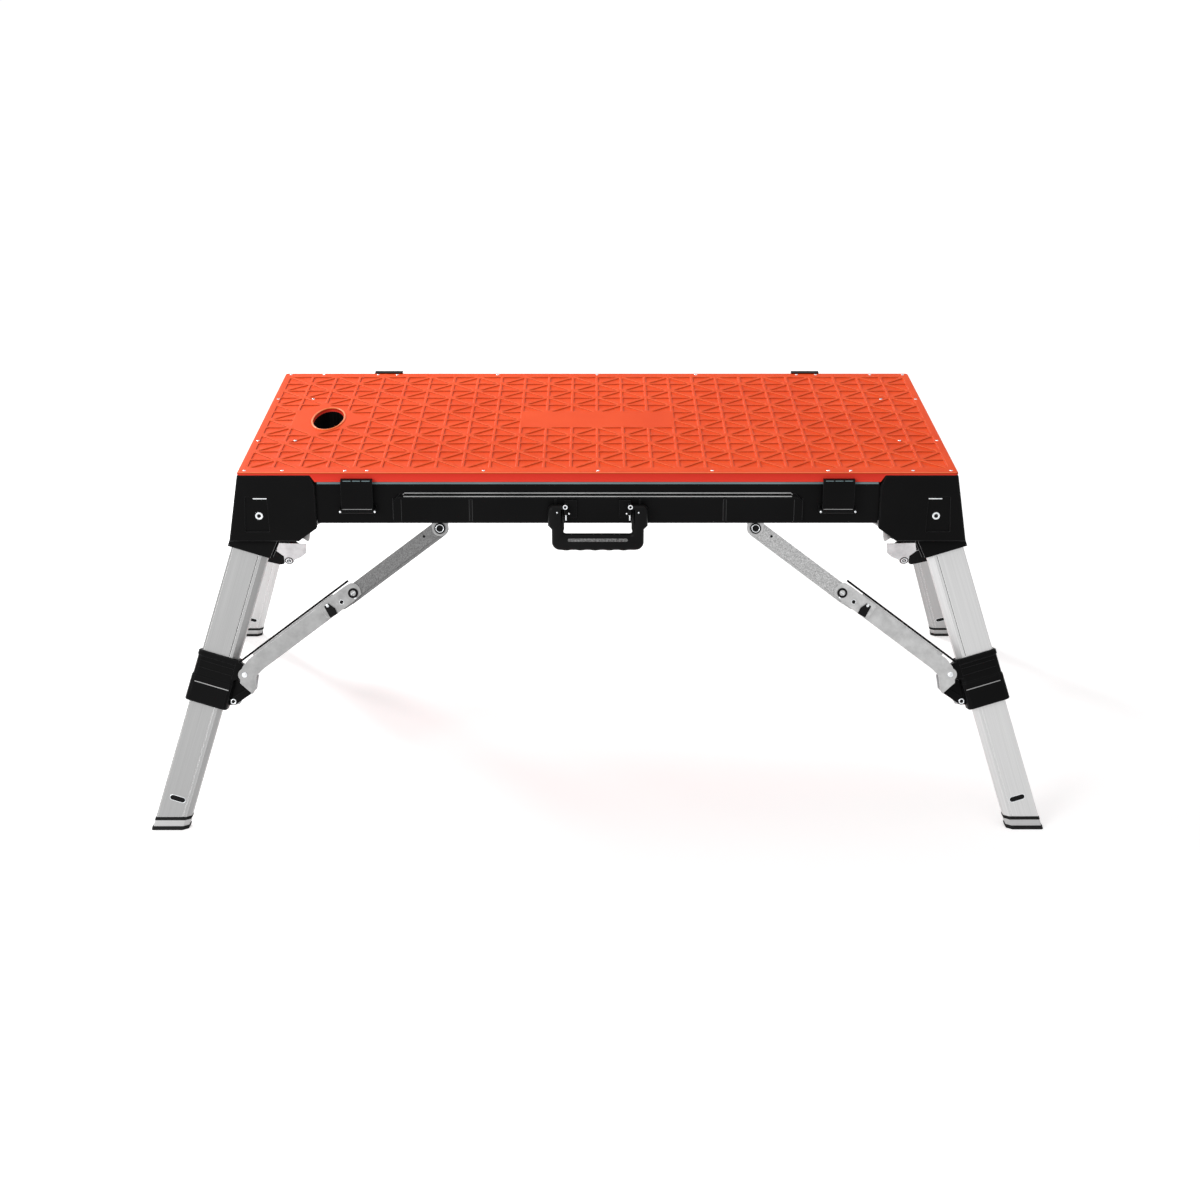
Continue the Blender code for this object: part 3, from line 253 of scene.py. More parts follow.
def gather(parts):
    """One list of points and one of faces from several, with the faces renumbered."""
    verts, faces, start = [], [], 0
    for some, corners in parts:
        some = np.asarray(some).reshape(-1, 3)
        verts.append(some)
        faces += [[index + start for index in face] for face in corners]
        start += len(some)
    return np.concatenate(verts), faces


def pit_loops():
    """The lower right pit of a cell: a right triangle between two straight ribs and the slanting one.

    Each loop is the triangle drawn in towards its incentre, with its corners rounded by a quadratic
    curve, so the walls are steep and meet the floor in a fillet.
    """
    edge, slant = STRAIGHT_RIB / 2, SLANT_RIB / 2 * math.sqrt(2)
    corners = np.array([(edge + slant, edge), (CELL - edge, edge), (CELL - edge, CELL - edge - slant)])
    sides = np.linalg.norm(np.roll(corners, -1, 0) - np.roll(corners, -2, 0), axis=1)
    centre = (corners * sides[:, None]).sum(0) / sides.sum()
    leg = CELL - 2 * edge - slant
    reach = leg * leg / sides.sum()
    bend = np.linspace(0, 1, 4)[:, None]
    loops = []
    for inset, depth, rounding in PIT_RINGS:
        small = centre + (corners - centre) * (1 - inset / reach)
        back, ahead = np.roll(small, 1, 0) - small, np.roll(small, -1, 0) - small
        come = small + back / np.linalg.norm(back, axis=1)[:, None] * rounding
        leave = small + ahead / np.linalg.norm(ahead, axis=1)[:, None] * rounding
        arcs = [(1 - bend) ** 2 * come[k] + 2 * bend * (1 - bend) * small[k] + bend ** 2 * leave[k]
                for k in range(3)]
        ring = np.concatenate(arcs)
        loops.append(np.column_stack([ring, np.full(len(ring), work_z - depth)]))
    return np.array(loops)


def all_pits():
    """Every pit of the lattice, as an array of pits, loops, points and coordinates."""
    one = pit_loops()
    across, deep = np.meshgrid(np.arange(-CELLS_X // 2, CELLS_X // 2), np.arange(-CELLS_Y // 2, CELLS_Y // 2))
    across, deep = across.ravel(), deep.ravel()
    keep = ~((across >= -BARE_X) & (across < BARE_X) & (deep >= -BARE_Y) & (deep < BARE_Y))
    across, deep = across[keep], deep[keep]
    made = []
    for half_turn in (False, True):
        local = np.repeat(one[None], len(across), 0)
        mirror = (across + deep) % 2 == 0
        local[mirror, :, :, 0] = CELL - local[mirror, :, :, 0]
        if half_turn:
            local[..., :2] = CELL - local[..., :2]
        local[..., 0] += across[:, None, None] * CELL
        local[..., 1] += deep[:, None, None] * CELL
        made.append(local)
    pits = np.concatenate(made)
    rim = pits[:, 0]
    half_x, half_y = HOLE_HW + HOLE_MARGIN, HOLE_HL + HOLE_MARGIN
    far = ((rim[..., 0] - HOLE_X) / half_x) ** 2 + (rim[..., 1] / half_y) ** 2
    return pits[(far > 1).all(axis=1)]


def deck_outline():
    """The plate's edge as points and outward directions: straight sides and round corners.

    Along the sides the points lie closer where the skirt steps up over the brackets.
    """
    steps = BRACKET_X + np.arange(6) * RAMP_STEP
    along = np.concatenate([-steps[::-1], np.linspace(-PLAIN_X, PLAIN_X, 15), steps])
    ends = np.array([-BRACKET_Y - JUMP, -BRACKET_Y + JUMP, -PLAIN_Y, 0.0, PLAIN_Y, BRACKET_Y - JUMP,
                     BRACKET_Y + JUMP])
    turn = np.radians(np.linspace(-90, 0, 7))
    corner = np.stack([np.cos(turn), np.sin(turn)], 1)
    quarter = np.array([[0, 1], [-1, 0]])
    points, normals = [], []
    for k, (half_a, half_b, stops) in enumerate(((deck_x, deck_y, along), (deck_y, deck_x, ends)) * 2):
        spin = np.linalg.matrix_power(quarter, k)
        side = np.stack([stops, np.full(len(stops), -half_b)], 1)
        out = np.repeat([[0.0, -1.0]], len(stops), 0)
        bend = np.array([half_a - CORNER_R, -half_b + CORNER_R]) + corner * CORNER_R
        points += [side @ spin, bend @ spin]
        normals += [out @ spin, corner @ spin]
    return np.concatenate(points), np.concatenate(normals)


def hole_oval(grow, z):
    """The hand hole's oval at a height, its two half axes grown by the same amount."""
    turn = np.linspace(0, 2 * np.pi, 57)[:-1]
    return np.column_stack([HOLE_X + (HOLE_HW + grow) * np.cos(turn), (HOLE_HL + grow) * np.sin(turn),
                            np.full(len(turn), z)])


def deck_shape():
    """Edge rings from the rolled edge down and back under, the hole's lip, the pits, and two flat faces."""
    points, out = deck_outline()
    under_z = work_z - PLATE
    over_bracket = (np.abs(points[:, 0]) > BRACKET_X) & (np.abs(points[:, 1]) > BRACKET_Y)
    ramp = np.clip((np.abs(points[:, 0]) - BRACKET_X) / RAMP, 0, 1)
    bottom = skirt_z + np.where(over_bracket, (under_z - skirt_z) * ramp, 0.0)
    roll = np.radians(np.linspace(0, 90, 6))
    rows = [np.column_stack([points - out * EDGE_R * (1 - math.sin(a)),
                             np.full(len(points), work_z - EDGE_R * (1 - math.cos(a)))]) for a in roll]
    for inset, lift in ((0.0, SKIRT_EASE), (SKIRT_EASE, 0.0), (SKIRT_T - SKIRT_EASE, 0.0)):
        level = np.minimum(bottom + lift, work_z - EDGE_R - SKIRT_EASE / 3)
        rows.append(np.column_stack([points - out * inset, level]))
    rows.append(np.column_stack([points - out * SKIRT_T, np.full(len(points), under_z)]))
    lip = np.array([hole_oval(grow, work_z + rise) for grow, rise in HOLE_LIP])
    pits = all_pits()
    count, levels, ring = pits.shape[:3]
    start = np.arange(count) * levels * ring
    walls = (np.array(bands(levels, ring))[None] + start[:, None, None]).reshape(-1, 4).tolist()
    floors = ((levels - 1) * ring + np.arange(ring) + start[:, None]).tolist()
    return gather([(pits, walls + floors), (np.array(rows), bands(len(rows), len(points))),
                   (lip, bands(len(lip), lip.shape[1])),
                   filled([rows[0][:, :2], lip[0][:, :2], *pits[:, 0, :, :2]], work_z),
                   filled([rows[-1][:, :2], lip[-1][:, :2]], under_z)])


def moulded_plastic(name, dull, bright, edge, edge_r, pebble, roughness, gloss, slopes=()):
    """Moulded plastic: a slow cloud between two shades with a painted highlight along its edges, over a fine
    pebbled grain.

    Where the normal rounded over edge_r leaves the face's own one, the colour runs to the edge colour, a painted
    highlight.
    Slopes are (height of the normal, colour) pairs for the faces that don't lie level: painted shade and highlight
    by tilt.
    """
    material, shader, add, link = new_material(name)
    place = add("ShaderNodeTexCoord")
    cloud = add("ShaderNodeTexNoise", Scale=8.0, Detail=4.0)
    tint = add("ShaderNodeValToRGB")
    tint.color_ramp.elements[0].position, tint.color_ramp.elements[1].position = 0.3, 0.7
    tint.color_ramp.elements[0].color, tint.color_ramp.elements[1].color = (*dull, 1), (*bright, 1)
    link(place, "Object", cloud, "Vector")
    link(cloud, "Fac", tint, "Fac")
    shade, shade_out = tint, "Color"
    if slopes:
        parts = add("ShaderNodeSeparateXYZ")
        # Colour by the height of the normal: painted shade and painted highlight.
        slope_light_ramp = add("ShaderNodeValToRGB")
        stops = slope_light_ramp.color_ramp.elements
        for stop, (rise, colour) in zip([stops[0], stops[1]] + [stops.new(0.5) for _ in slopes[2:]], slopes):
            stop.position, stop.color = rise, (*colour, 1)
        level = add("ShaderNodeMapRange", From_Min=0.97, From_Max=0.93)
        sloped = add("ShaderNodeMix", data_type="RGBA")
        link(place, "Normal", parts, "Vector")
        link(parts, "Z", slope_light_ramp, "Fac")
        link(parts, "Z", level, "Value")
        link(level, "Result", sloped, 0)
        link(tint, "Color", sloped, 6)
        link(slope_light_ramp, "Color", sloped, 7)
        shade, shade_out = sloped, 2
    soft = add("ShaderNodeBevel", samples=4, Radius=edge_r)
    face = add("ShaderNodeNewGeometry")
    agree = add("ShaderNodeVectorMath", operation="DOT_PRODUCT")
    # Paler edges are a painted highlight.
    edge_highlight = add("ShaderNodeMapRange", From_Min=0.992, From_Max=0.90)
    paler = add("ShaderNodeMix", data_type="RGBA")
    paler.inputs[7].default_value = (*edge, 1)
    link(soft, "Normal", agree, 0)
    link(face, "Normal", agree, 1)
    link(agree, "Value", edge_highlight, "Value")
    link(edge_highlight, "Result", paler, 0)
    link(shade, shade_out, paler, 6)
    link(paler, 2, shader, "Base Color")
    grain = add("ShaderNodeTexVoronoi", Scale=1400.0)
    bump = add("ShaderNodeBump", Strength=pebble, Distance=0.0003)
    link(place, "Object", grain, "Vector")
    link(grain, "Distance", bump, "Height")
    link(soft, "Normal", bump, "Normal")
    link(bump, "Normal", shader, "Normal")
    shader.inputs["Roughness"].default_value = roughness
    shader.inputs["Specular IOR Level"].default_value = gloss
    return material


# By tilt: pit walls get painted shade, the rolled edge and pit rims a painted highlight, the upright skirt a
# brighter red.
DECK_PAINTED_SLOPE_LIGHT = ((0.0, (1.0, 0.058, 0.036)), (0.10, (0.90, 0.045, 0.020)), (0.22, (0.50, 0.018, 0.004)),
               (0.44, (0.52, 0.020, 0.004)), (0.52, (1.0, 0.20, 0.060)), (0.90, (1.0, 0.17, 0.050)))
orange = moulded_plastic("orange_deck_plastic", (0.85, 0.070, 0.008), (0.93, 0.090, 0.014),
                         (1.0, 0.17, 0.055), 0.0007, 0.08, 0.55, 0.10, DECK_PAINTED_SLOPE_LIGHT)
deck = piece("deck", deck_shape(), orange, "frame")
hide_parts("top_panel")

# Hand hole rim
# A rounded bead of the same plastic stands round the hand hole, coloured paler orange as a painted highlight on
# its lip.
BEAD_HW, BEAD_H = 0.0017, 0.0013
BEAD_OUT, BEAD_UP = 0.0019, 0.0006       # the bead's middle, out from the hole and up from the deck
bead = np.array([hole_oval(BEAD_OUT + BEAD_HW * math.cos(a), work_z + BEAD_UP + BEAD_H * math.sin(a))
                 for a in np.radians(np.arange(0, 360, 36))])
# Paler orange bead: painted highlight.
painted_highlight_bead = moulded_plastic("painted_highlight_orange_bead", (1.0, 0.19, 0.035), (1.0, 0.24, 0.05), (1.0, 0.34, 0.10),
                           0.0005, 0.04, 0.35, 0.30)
piece("hand_hole_bead", (bead, bands(len(bead), bead.shape[1], True)), painted_highlight_bead, "frame")

# Deck screws
# Small zinc plated pan heads with a cross recess, set along the deck's edges and round the hand hole.
SCREW_R = 0.0027
SCREW_H = 0.0011
ROW_X = np.array([0.0, 0.181, 0.365, 0.400, 0.499, 0.5590])      # along both long edges
ROW_Y = 0.2715
END_X = (0.5605, 0.4990)                                         # near both ends
END_Y = 0.1180


def turned(outline, steps=20):
    """A shape turned on a lathe: each (radius, height) of the outline is carried round the z axis.

    A first or last radius above zero is closed by a flat disc.
    """
    radius, height = np.array(outline, float).T
    spin = np.linspace(0, 2 * np.pi, steps + 1)[:-1]
    grid = np.stack([radius[:, None] * np.cos(spin), radius[:, None] * np.sin(spin),
                     np.repeat(height[:, None], steps, 1)], -1)
    last = (len(radius) - 1) * steps
    return grid, bands(len(radius), steps) + [list(range(steps)), list(range(last, last + steps))]


def dome(radius, height, sunk=0.0004):
    """A low round head: radius r cos a, height h sin a, with its foot sunk a little."""
    bend = np.radians([0, 22, 45, 66, 84])
    return turned([(radius, -sunk)] + [(radius * math.cos(a), height * math.sin(a)) for a in bend])


def ring(radius, thick, height=None, sides=10, steps=24):
    """A round bead: a small ellipse, thick wide and height tall, carried round the z axis."""
    height = thick if height is None else height
    spin = np.linspace(0, 2 * np.pi, steps + 1)[:-1]
    roll = np.linspace(0, 2 * np.pi, sides + 1)[:-1][:, None]
    reach = radius + thick * np.cos(roll)
    grid = np.stack([reach * np.cos(spin), reach * np.sin(spin), height * np.sin(roll) + 0 * spin], -1)
    return grid, bands(sides, steps, True)


def drawn_in(loop, inset):
    """A closed loop moved to its left by a distance, each point along the mitre of its two edges."""
    before, after = loop - np.roll(loop, 1, 0), np.roll(loop, -1, 0) - loop
    left = [np.column_stack([-edge[:, 1], edge[:, 0]]) / np.linalg.norm(edge, axis=1)[:, None]
            for edge in (before, after)]
    mitre = (left[0] + left[1]) / (1 + (left[0] * left[1]).sum(1))[:, None]
    return loop + mitre * inset


def slab(loops, levels):
    """A plate built up from (inset, height) levels, its first loop the edge and the others holes.

    The edge runs against the clock and the holes with it, so an inset draws every wall into the plate.
    """
    loops = [np.array(loop, float) for loop in loops]
    parts = []
    for loop in loops:
        rows = [np.column_stack([drawn_in(loop, inset), np.full(len(loop), z)]) for inset, z in levels]
        parts.append((np.array(rows), bands(len(rows), len(loop))))
    for inset, z in (levels[0], levels[-1]):
        parts.append(filled([drawn_in(loop, inset) for loop in loops], z))
    return gather(parts)


def plate(corners, low, high, ease):
    """A flat plate over one outline, from low to high, its upper edge eased by a small chamfer."""
    return slab([corners], [(0, low), (0, high - ease), (ease, high)])


def bar(x0, x1, y0, y1):
    """A rectangle's corners, against the clock."""
    return [(x0, y0), (x1, y0), (x1, y1), (x0, y1)]


def at_spots(shape, spots, axes=np.eye(3)):
    """Copies of one shape at many places, its three directions given by the rows of axes."""
    grid, faces = shape
    flat = np.asarray(grid).reshape(-1, 3) @ np.asarray(axes)
    return gather([(flat + np.asarray(spot), faces) for spot in spots])


def metal(name, dull, bright, blotch, roughness, edge=None, metallic=0.9):
    """Plated metal: blotches of two shades, softened edges and a painted highlight on them, in edge colour if
    given.
    """
    material, shader, add, link = new_material(name)
    place = add("ShaderNodeTexCoord")
    cloud = add("ShaderNodeTexNoise", Scale=blotch, Detail=4.0, Roughness=0.65)
    tint = add("ShaderNodeValToRGB")
    tint.color_ramp.elements[0].position, tint.color_ramp.elements[1].position = 0.32, 0.68
    tint.color_ramp.elements[0].color, tint.color_ramp.elements[1].color = (*dull, 1), (*bright, 1)
    soft = add("ShaderNodeBevel", samples=4, Radius=0.0006)
    face = add("ShaderNodeNewGeometry")
    agree = add("ShaderNodeVectorMath", operation="DOT_PRODUCT")
    # Paler edges: painted highlight.
    edge_highlight = add("ShaderNodeMapRange", From_Min=0.992, From_Max=0.90)
    paler = add("ShaderNodeMix", data_type="RGBA")
    paler.inputs[7].default_value = (*(edge or bright), 1)
    link(place, "Object", cloud, "Vector")
    link(cloud, "Fac", tint, "Fac")
    link(soft, "Normal", agree, 0)
    link(face, "Normal", agree, 1)
    link(agree, "Value", edge_highlight, "Value")
    link(edge_highlight, "Result", paler, 0)
    link(tint, "Color", paler, 6)
    link(paler, 2, shader, "Base Color")
    link(soft, "Normal", shader, "Normal")
    shader.inputs["Metallic"].default_value = metallic
    shader.inputs["Roughness"].default_value = roughness
    return material


zinc = metal("bright_zinc", (0.66, 0.70, 0.73), (0.92, 0.93, 0.94), 220.0, 0.26)
# Near-black for small black parts, and for black plates laid where only shade falls: painted shade in recesses and
# holes.
black_parts_and_painted_shade, shader, add, link = new_material("black_parts_and_painted_shade")
place = add("ShaderNodeTexCoord")
grime = add("ShaderNodeTexNoise", Scale=400.0)
tint = add("ShaderNodeValToRGB")
tint.color_ramp.elements[0].color = (0.004, 0.004, 0.004, 1)
tint.color_ramp.elements[1].color = (0.012, 0.012, 0.013, 1)
link(place, "Object", grime, "Vector")
link(grime, "Fac", tint, "Fac")
link(tint, "Color", shader, "Base Color")
shader.inputs["Roughness"].default_value = 0.6
shader.inputs["Specular IOR Level"].default_value = 0.10

row_x = np.concatenate([-ROW_X[:0:-1], ROW_X])
spots = [(x, side * ROW_Y, work_z) for side in (-1, 1) for x in row_x]
spots += [(side * x, end * END_Y, work_z) for side in (-1, 1) for x in END_X for end in (-1, 1)]
arm, half = SCREW_R * 0.55, SCREW_R * 0.13
cross = [(arm, half), (half, half), (half, arm), (-half, arm), (-half, half), (-arm, half), (-arm, -half),
         (-half, -half), (-half, -arm), (half, -arm), (half, -half), (arm, -half)]
piece("deck_screws", at_spots(dome(SCREW_R, SCREW_H), spots), zinc, "frame")
# A black cross on each head stands for the cross recess: painted shade.
recess = plate(cross, SCREW_H * 0.7, SCREW_H * 1.02, half / 5)
piece("deck_screw_recesses", at_spots(recess, spots), black_parts_and_painted_shade, "frame")

# Ring frame, corner brackets and chute
# Black structural mouldings with a fine spark-eroded grain, their edges paler as a painted highlight. A thin
# pale blue-grey strip under the deck's skirt along the aprons is a painted highlight line; tongues on the frame
# close the joint behind each bracket's edge, and each bracket is screwed through a pocket with a bright zinc
# strip along its upper end.
CORNERS = {"fl": (-1, -1), "fr": (1, -1), "rl": (-1, 1), "rr": (1, 1)}
# Its edge colour is a painted highlight.
grained = moulded_plastic("grained_black_plastic", (0.0028, 0.0028, 0.0029), (0.0050, 0.0050, 0.0052),
                          (0.048, 0.048, 0.050), 0.0009, 0.16, 0.42, 0.06)
# Pale blue-grey for thin painted highlight lines.
blue_grey_highlight = moulded_plastic("painted_highlight_blue_grey", (0.16, 0.24, 0.26), (0.24, 0.34, 0.36), (0.36, 0.46, 0.48),
                            0.0003, 0.05, 0.5, 0.2)
# Pale grey for highlight lines on ledges: painted highlight.
highlight_grey = moulded_plastic("painted_highlight_grey_line", (0.30, 0.30, 0.30), (0.60, 0.60, 0.60), (0.62, 0.62, 0.62),
                              0.0003, 0.1, 0.4, 0.3)
SKIRT_LINE_Z = (0.5505, 0.5536)
SKIRT_LINE_OUT = (0.2745, 0.2805)
SKIRT_LINE_X, SKIRT_LINE_Y = 0.4440, 0.1880          # half lengths of the long and the short strips
# Paths of the painted highlight lines along the apron's ledge.
LEDGE_PATHS = (([(-0.3070, 0.2756, 0.5338), (0.3070, 0.2756, 0.5338)], 0.0011),
               ([(-0.3080, 0.2806, 0.5298), (0.3080, 0.2806, 0.5298)], 0.0009),
               ([(-0.3175, 0.2762, 0.5220), (-0.3070, 0.2758, 0.5335)], 0.0007),
               ([(0.3070, 0.2758, 0.5335), (0.3175, 0.2762, 0.5220)], 0.0007))
UPRIGHTS = ((0.3258, 0.2752), (0.3120, 0.2809), (0.2042, 0.2809), (0.1992, 0.2809))
UPRIGHT_Z = (0.4885, 0.5250)             # fine lines beside the panel's end and its seams
TONGUE_X, TONGUE_Y, TONGUE_Z = (0.4440, 0.4520), (0.2690, 0.2712), (0.4860, 0.5515)
POCKET_Y = 0.2788
POCKET_SCREW = (0.5388, 0.4966)
POCKET_STRIP_AT = (0.5318, 0.5256)
POCKET_RING, POCKET_HEART = (0.0047, 0.0017, 0.0011), [(0.0034, -0.0006), (0.0034, 0.0002), (0.0024, 0.0005)]
TO_FRONT = np.array([(1, 0, 0), (0, 0, 1), (0, -1, 0)])   # a plate's directions when it faces the front
TO_REAR = np.array([(1, 0, 0), (0, 0, 1), (0, 1, 0)])


def dress(stems, material):
    """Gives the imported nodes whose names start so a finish, through their own material slots."""
    for name, node in nodes.items():
        if name.startswith(stems):
            for held in node.material_slots:
                held.link = "OBJECT"
                held.material = material


def beam(x, y, z):
    """A rectangular bar between two corners, its upper edges eased."""
    return slab([bar(x[0], x[1], y[0], y[1])], [(0, z[0]), (0, z[1] - 0.0002), (0.0002, z[1])])


def wire(path, radius, steps=8):
    """A thin round bead between two points, its ends drawn in to a small flat."""
    start, end = (np.array(point, float) for point in path)
    length = np.linalg.norm(end - start)
    along = (end - start) / length
    across = np.cross(along, (0, 1, 0))
    across /= np.linalg.norm(across)
    outline = [(radius / 3, 0), (radius, radius / 2), (radius, length - radius / 2), (radius / 3, length)]
    return at_spots(turned(outline, steps), [start], [across, np.cross(along, across), along])


def facing(sy):
    """A plate's directions on the front or the rear side."""
    return TO_FRONT if sy < 0 else TO_REAR


dress(("frame", "bracket", "hole_chute", "handle_mount"), grained)
# A thin pale strip under the skirt along each side: painted highlight line.
skirt_lines = []
for side in (-1, 1):
    y = sorted(side * edge for edge in SKIRT_LINE_OUT)
    skirt_lines.append(beam((-SKIRT_LINE_X, SKIRT_LINE_X), y, SKIRT_LINE_Z))
    x = sorted(side * (edge + deck_x - deck_y) for edge in SKIRT_LINE_OUT)
    skirt_lines.append(beam(x, (-SKIRT_LINE_Y, SKIRT_LINE_Y), SKIRT_LINE_Z))
piece("skirt_highlight_line", gather(skirt_lines), blue_grey_highlight, "frame")
tongues = [beam(sorted(sx * x for x in TONGUE_X), sorted(sy * y for y in TONGUE_Y), TONGUE_Z)
           for sx, sy in CORNERS.values()]
piece("bracket_tongues", gather(tongues), grained, "frame")
# Grey wires along the apron panel's ledge: painted highlights.
lines = []
for side in (-1, 1):
    lines += [wire([(x, side * y, z) for x, y, z in path], radius) for path, radius in LEDGE_PATHS]
piece("apron_ledge_lines", gather(lines), highlight_grey, "frame")
# Lines beside the apron panel's end and seams, a little paler than the black: painted highlights.
faint_highlight = moulded_plastic("faint_painted_highlight", (0.020, 0.020, 0.021), (0.050, 0.050, 0.052),
                             (0.06, 0.06, 0.06), 0.0003, 0.1, 0.4, 0.2)
upright = [wire([(sx * x, sy * y, z) for z in UPRIGHT_Z], 0.0005)
           for sx in (-1, 1) for sy in (-1, 1) for x, y in UPRIGHTS]
piece("apron_upright_lines", gather(upright), faint_highlight, "frame")
washers, hearts, strips = [], [], []
for sx, sy in CORNERS.values():
    at = [(sx * POCKET_SCREW[0], sy * (POCKET_Y + 0.0004), POCKET_SCREW[1])]
    washers.append(at_spots(ring(*POCKET_RING), at, facing(sy)))
    hearts.append(at_spots(turned(POCKET_HEART), at, facing(sy)))
    # A bright zinc strip along the pocket's upper end.
    strips.append(at_spots(plate(bar(-0.0150, 0.0150, -0.0010, 0.0010), -0.0004, 0.0008, 0.0003),
                           [(sx * POCKET_STRIP_AT[0], sy * POCKET_Y, POCKET_STRIP_AT[1])], facing(sy)))
piece("bracket_screw_rings", gather(washers), zinc, "frame")
piece("bracket_screw_hearts", gather(hearts), black_parts_and_painted_shade, "frame")
piece("bracket_pocket_strips", gather(strips), zinc, "frame")

# Edge latches
# Black levers rolled round a steel pin, with painted glints along their hooks and a painted highlight across each
# ledge.
LATCH_X = 0.3810
LATCH_PIN_Z = 0.5070
LATCH_FACE = 0.2892      # the latch's outer face, out from the bench's middle
LATCH_CAP_X = 0.0274
LATCH_LEDGE = (-0.0232, 0.0232, 0.5108, 0.5117)
# Pale strips along the hooks: painted glints.
GLINT_X, GLINT_HW, GLINT_DROP = (-0.0150, 0.0, 0.0150), 0.0062, (0.0022, 0.0010)
dress(("latch",), grained)
for tag, (sx, sy) in CORNERS.items():
    places = [(sx * LATCH_X + end * LATCH_CAP_X, sy * LATCH_FACE, LATCH_PIN_Z) for end in (-1, 1)]
    caps = [at_spots(dome(0.0019, 0.0012), [spot], facing(sy)) for spot in places]
    piece(f"latch_pin_caps_{tag}", gather(caps), zinc, "frame")
    face = [(sx * LATCH_X, sy * LATCH_FACE, 0.0)]
    # A grey bar across each latch: painted highlight along its ledge.
    ledge = at_spots(plate(bar(*LATCH_LEDGE), -0.0004, 0.0003, 0.0001), face, facing(sy))
    piece(f"latch_ledge_highlight_{tag}", ledge, highlight_grey, f"edge_latch_{tag}")
    hook_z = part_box(f"latch_{tag}")[1][2]
    glints = [plate(bar(x - GLINT_HW, x + GLINT_HW, hook_z - GLINT_DROP[0], hook_z - GLINT_DROP[1]), -0.0004, 0.0002,
                  0.0001) for x in GLINT_X]
    piece(f"latch_glints_{tag}", at_spots(gather(glints), face, facing(sy)), blue_grey_highlight, f"edge_latch_{tag}")


# Legs
# Each leg is a pair of extruded aluminium tubes with lines drawn along them. A black strip in the groove on both
# wide faces, and a black plate in the slot near the lower tube's foot inside a bright pressed rim, are painted
# shade.
GROOVE_AT = ((-0.0153, 0.0130), (-0.0125, 0.0102))     # q and n of the groove on upper and lower tube
GROOVE_RUN = ((0.093, 0.262), (0.351, 0.536))          # where each groove starts and ends down the leg
GROOVE_HW, GROOVE_IN = 0.0005, 0.0005
SLOT_S, SLOT_Q, SLOT_HL, SLOT_R = 0.5100, 0.0015, 0.0115, 0.0030
# The liner is a black plate in the slot: painted shade.
SLOT_LINER, SLOT_RIM = 0.0008, (0.0019, 0.0009)        # growth of the liner and of the rim's two edges
TUBE_FACE = 0.0102                                     # the lower tube's wide face, out from its middle
# Each corner's tubes are lighter or darker as painted light.
TUBE_PAINTED_LIGHT = {"fl": 0.37, "rl": 0.60, "fr": 0.66, "rr": 0.44}


def leg_frames():
    """For each corner: the fold pin's place, and rows outward across the leg, down it, out of its face."""
    joints = {joint["name"]: joint for joint in frame["joints"]}
    found = {}
    for tag, (sx, sy) in CORNERS.items():
        pin = np.array(joints[f"leg_fold_{tag}"]["pos_m"])
        face = np.array(joints[f"leg_fold_{tag}"]["axis"])
        face = face * sy * np.sign(face[1])
        down = -np.array(joints[f"leg_retract_{tag}"]["axis"])
        out = np.cross(down, face)
        out = out * sx * np.sign(out[0])
        rows = np.array([out, down, face])
        found[tag] = (pin, rows / np.linalg.norm(rows, axis=1)[:, None])
    return found


legs = leg_frames()


def on_leg(tag, shape, q=0.0, s=0.0, n=0.0, side=1):
    """A flat shape laid on a leg: q outward across it, s down it, n out of its wide face, to a side."""
    pin, rows = legs[tag]
    return at_spots(shape, [pin + np.array([q, s, n]) @ rows], rows * np.array([[1], [1], [side]]))


def drawn_aluminium(tag, shade):
    """Satin aluminium with fine lines along the leg and a painted highlight on its edges, for one corner, whose
    shade is painted light.
    """
    material, shader, add, link = new_material(f"drawn_aluminium_{tag}")
    out, down = legs[tag][1][:2]
    place = add("ShaderNodeTexCoord")
    aligned = add("ShaderNodeMapping")
    aligned.inputs["Rotation"].default_value = Matrix([out, np.cross(down, out), down]).to_euler()
    stretched = add("ShaderNodeMapping")
    stretched.inputs["Scale"].default_value = (900.0, 900.0, 5.0)
    lines = add("ShaderNodeTexNoise", Scale=1.0, Detail=2.0)
    tint = add("ShaderNodeValToRGB")
    tint.color_ramp.elements[0].position, tint.color_ramp.elements[1].position = 0.3, 0.7
    tint.color_ramp.elements[0].color = (*[0.94 * shade] * 3, 1)
    tint.color_ramp.elements[1].color = (*[1.05 * shade] * 3, 1)
    soft = add("ShaderNodeBevel", samples=4, Radius=0.0008)
    face = add("ShaderNodeNewGeometry")
    agree = add("ShaderNodeVectorMath", operation="DOT_PRODUCT")
    # Paler edges: painted highlight.
    edge_highlight = add("ShaderNodeMapRange", From_Min=0.995, From_Max=0.93)
    paler = add("ShaderNodeMix", data_type="RGBA")
    paler.inputs[7].default_value = (0.94, 0.94, 0.94, 1)
    bump = add("ShaderNodeBump", Strength=0.05, Distance=0.0002)
    for wiring in ((place, "Object", aligned, "Vector"), (aligned, "Vector", stretched, "Vector"),
                   (stretched, "Vector", lines, "Vector"), (lines, "Fac", tint, "Fac"),
                   (soft, "Normal", agree, 0), (face, "Normal", agree, 1),
                   (agree, "Value", edge_highlight, "Value"), (edge_highlight, "Result", paler, 0),
                   (tint, "Color", paler, 6), (paler, 2, shader, "Base Color"),
                   (lines, "Fac", bump, "Height"), (soft, "Normal", bump, "Normal"),
                   (bump, "Normal", shader, "Normal")):
        link(*wiring)
    shader.inputs["Metallic"].default_value = 0.80
    shader.inputs["Roughness"].default_value = 0.44
    return material


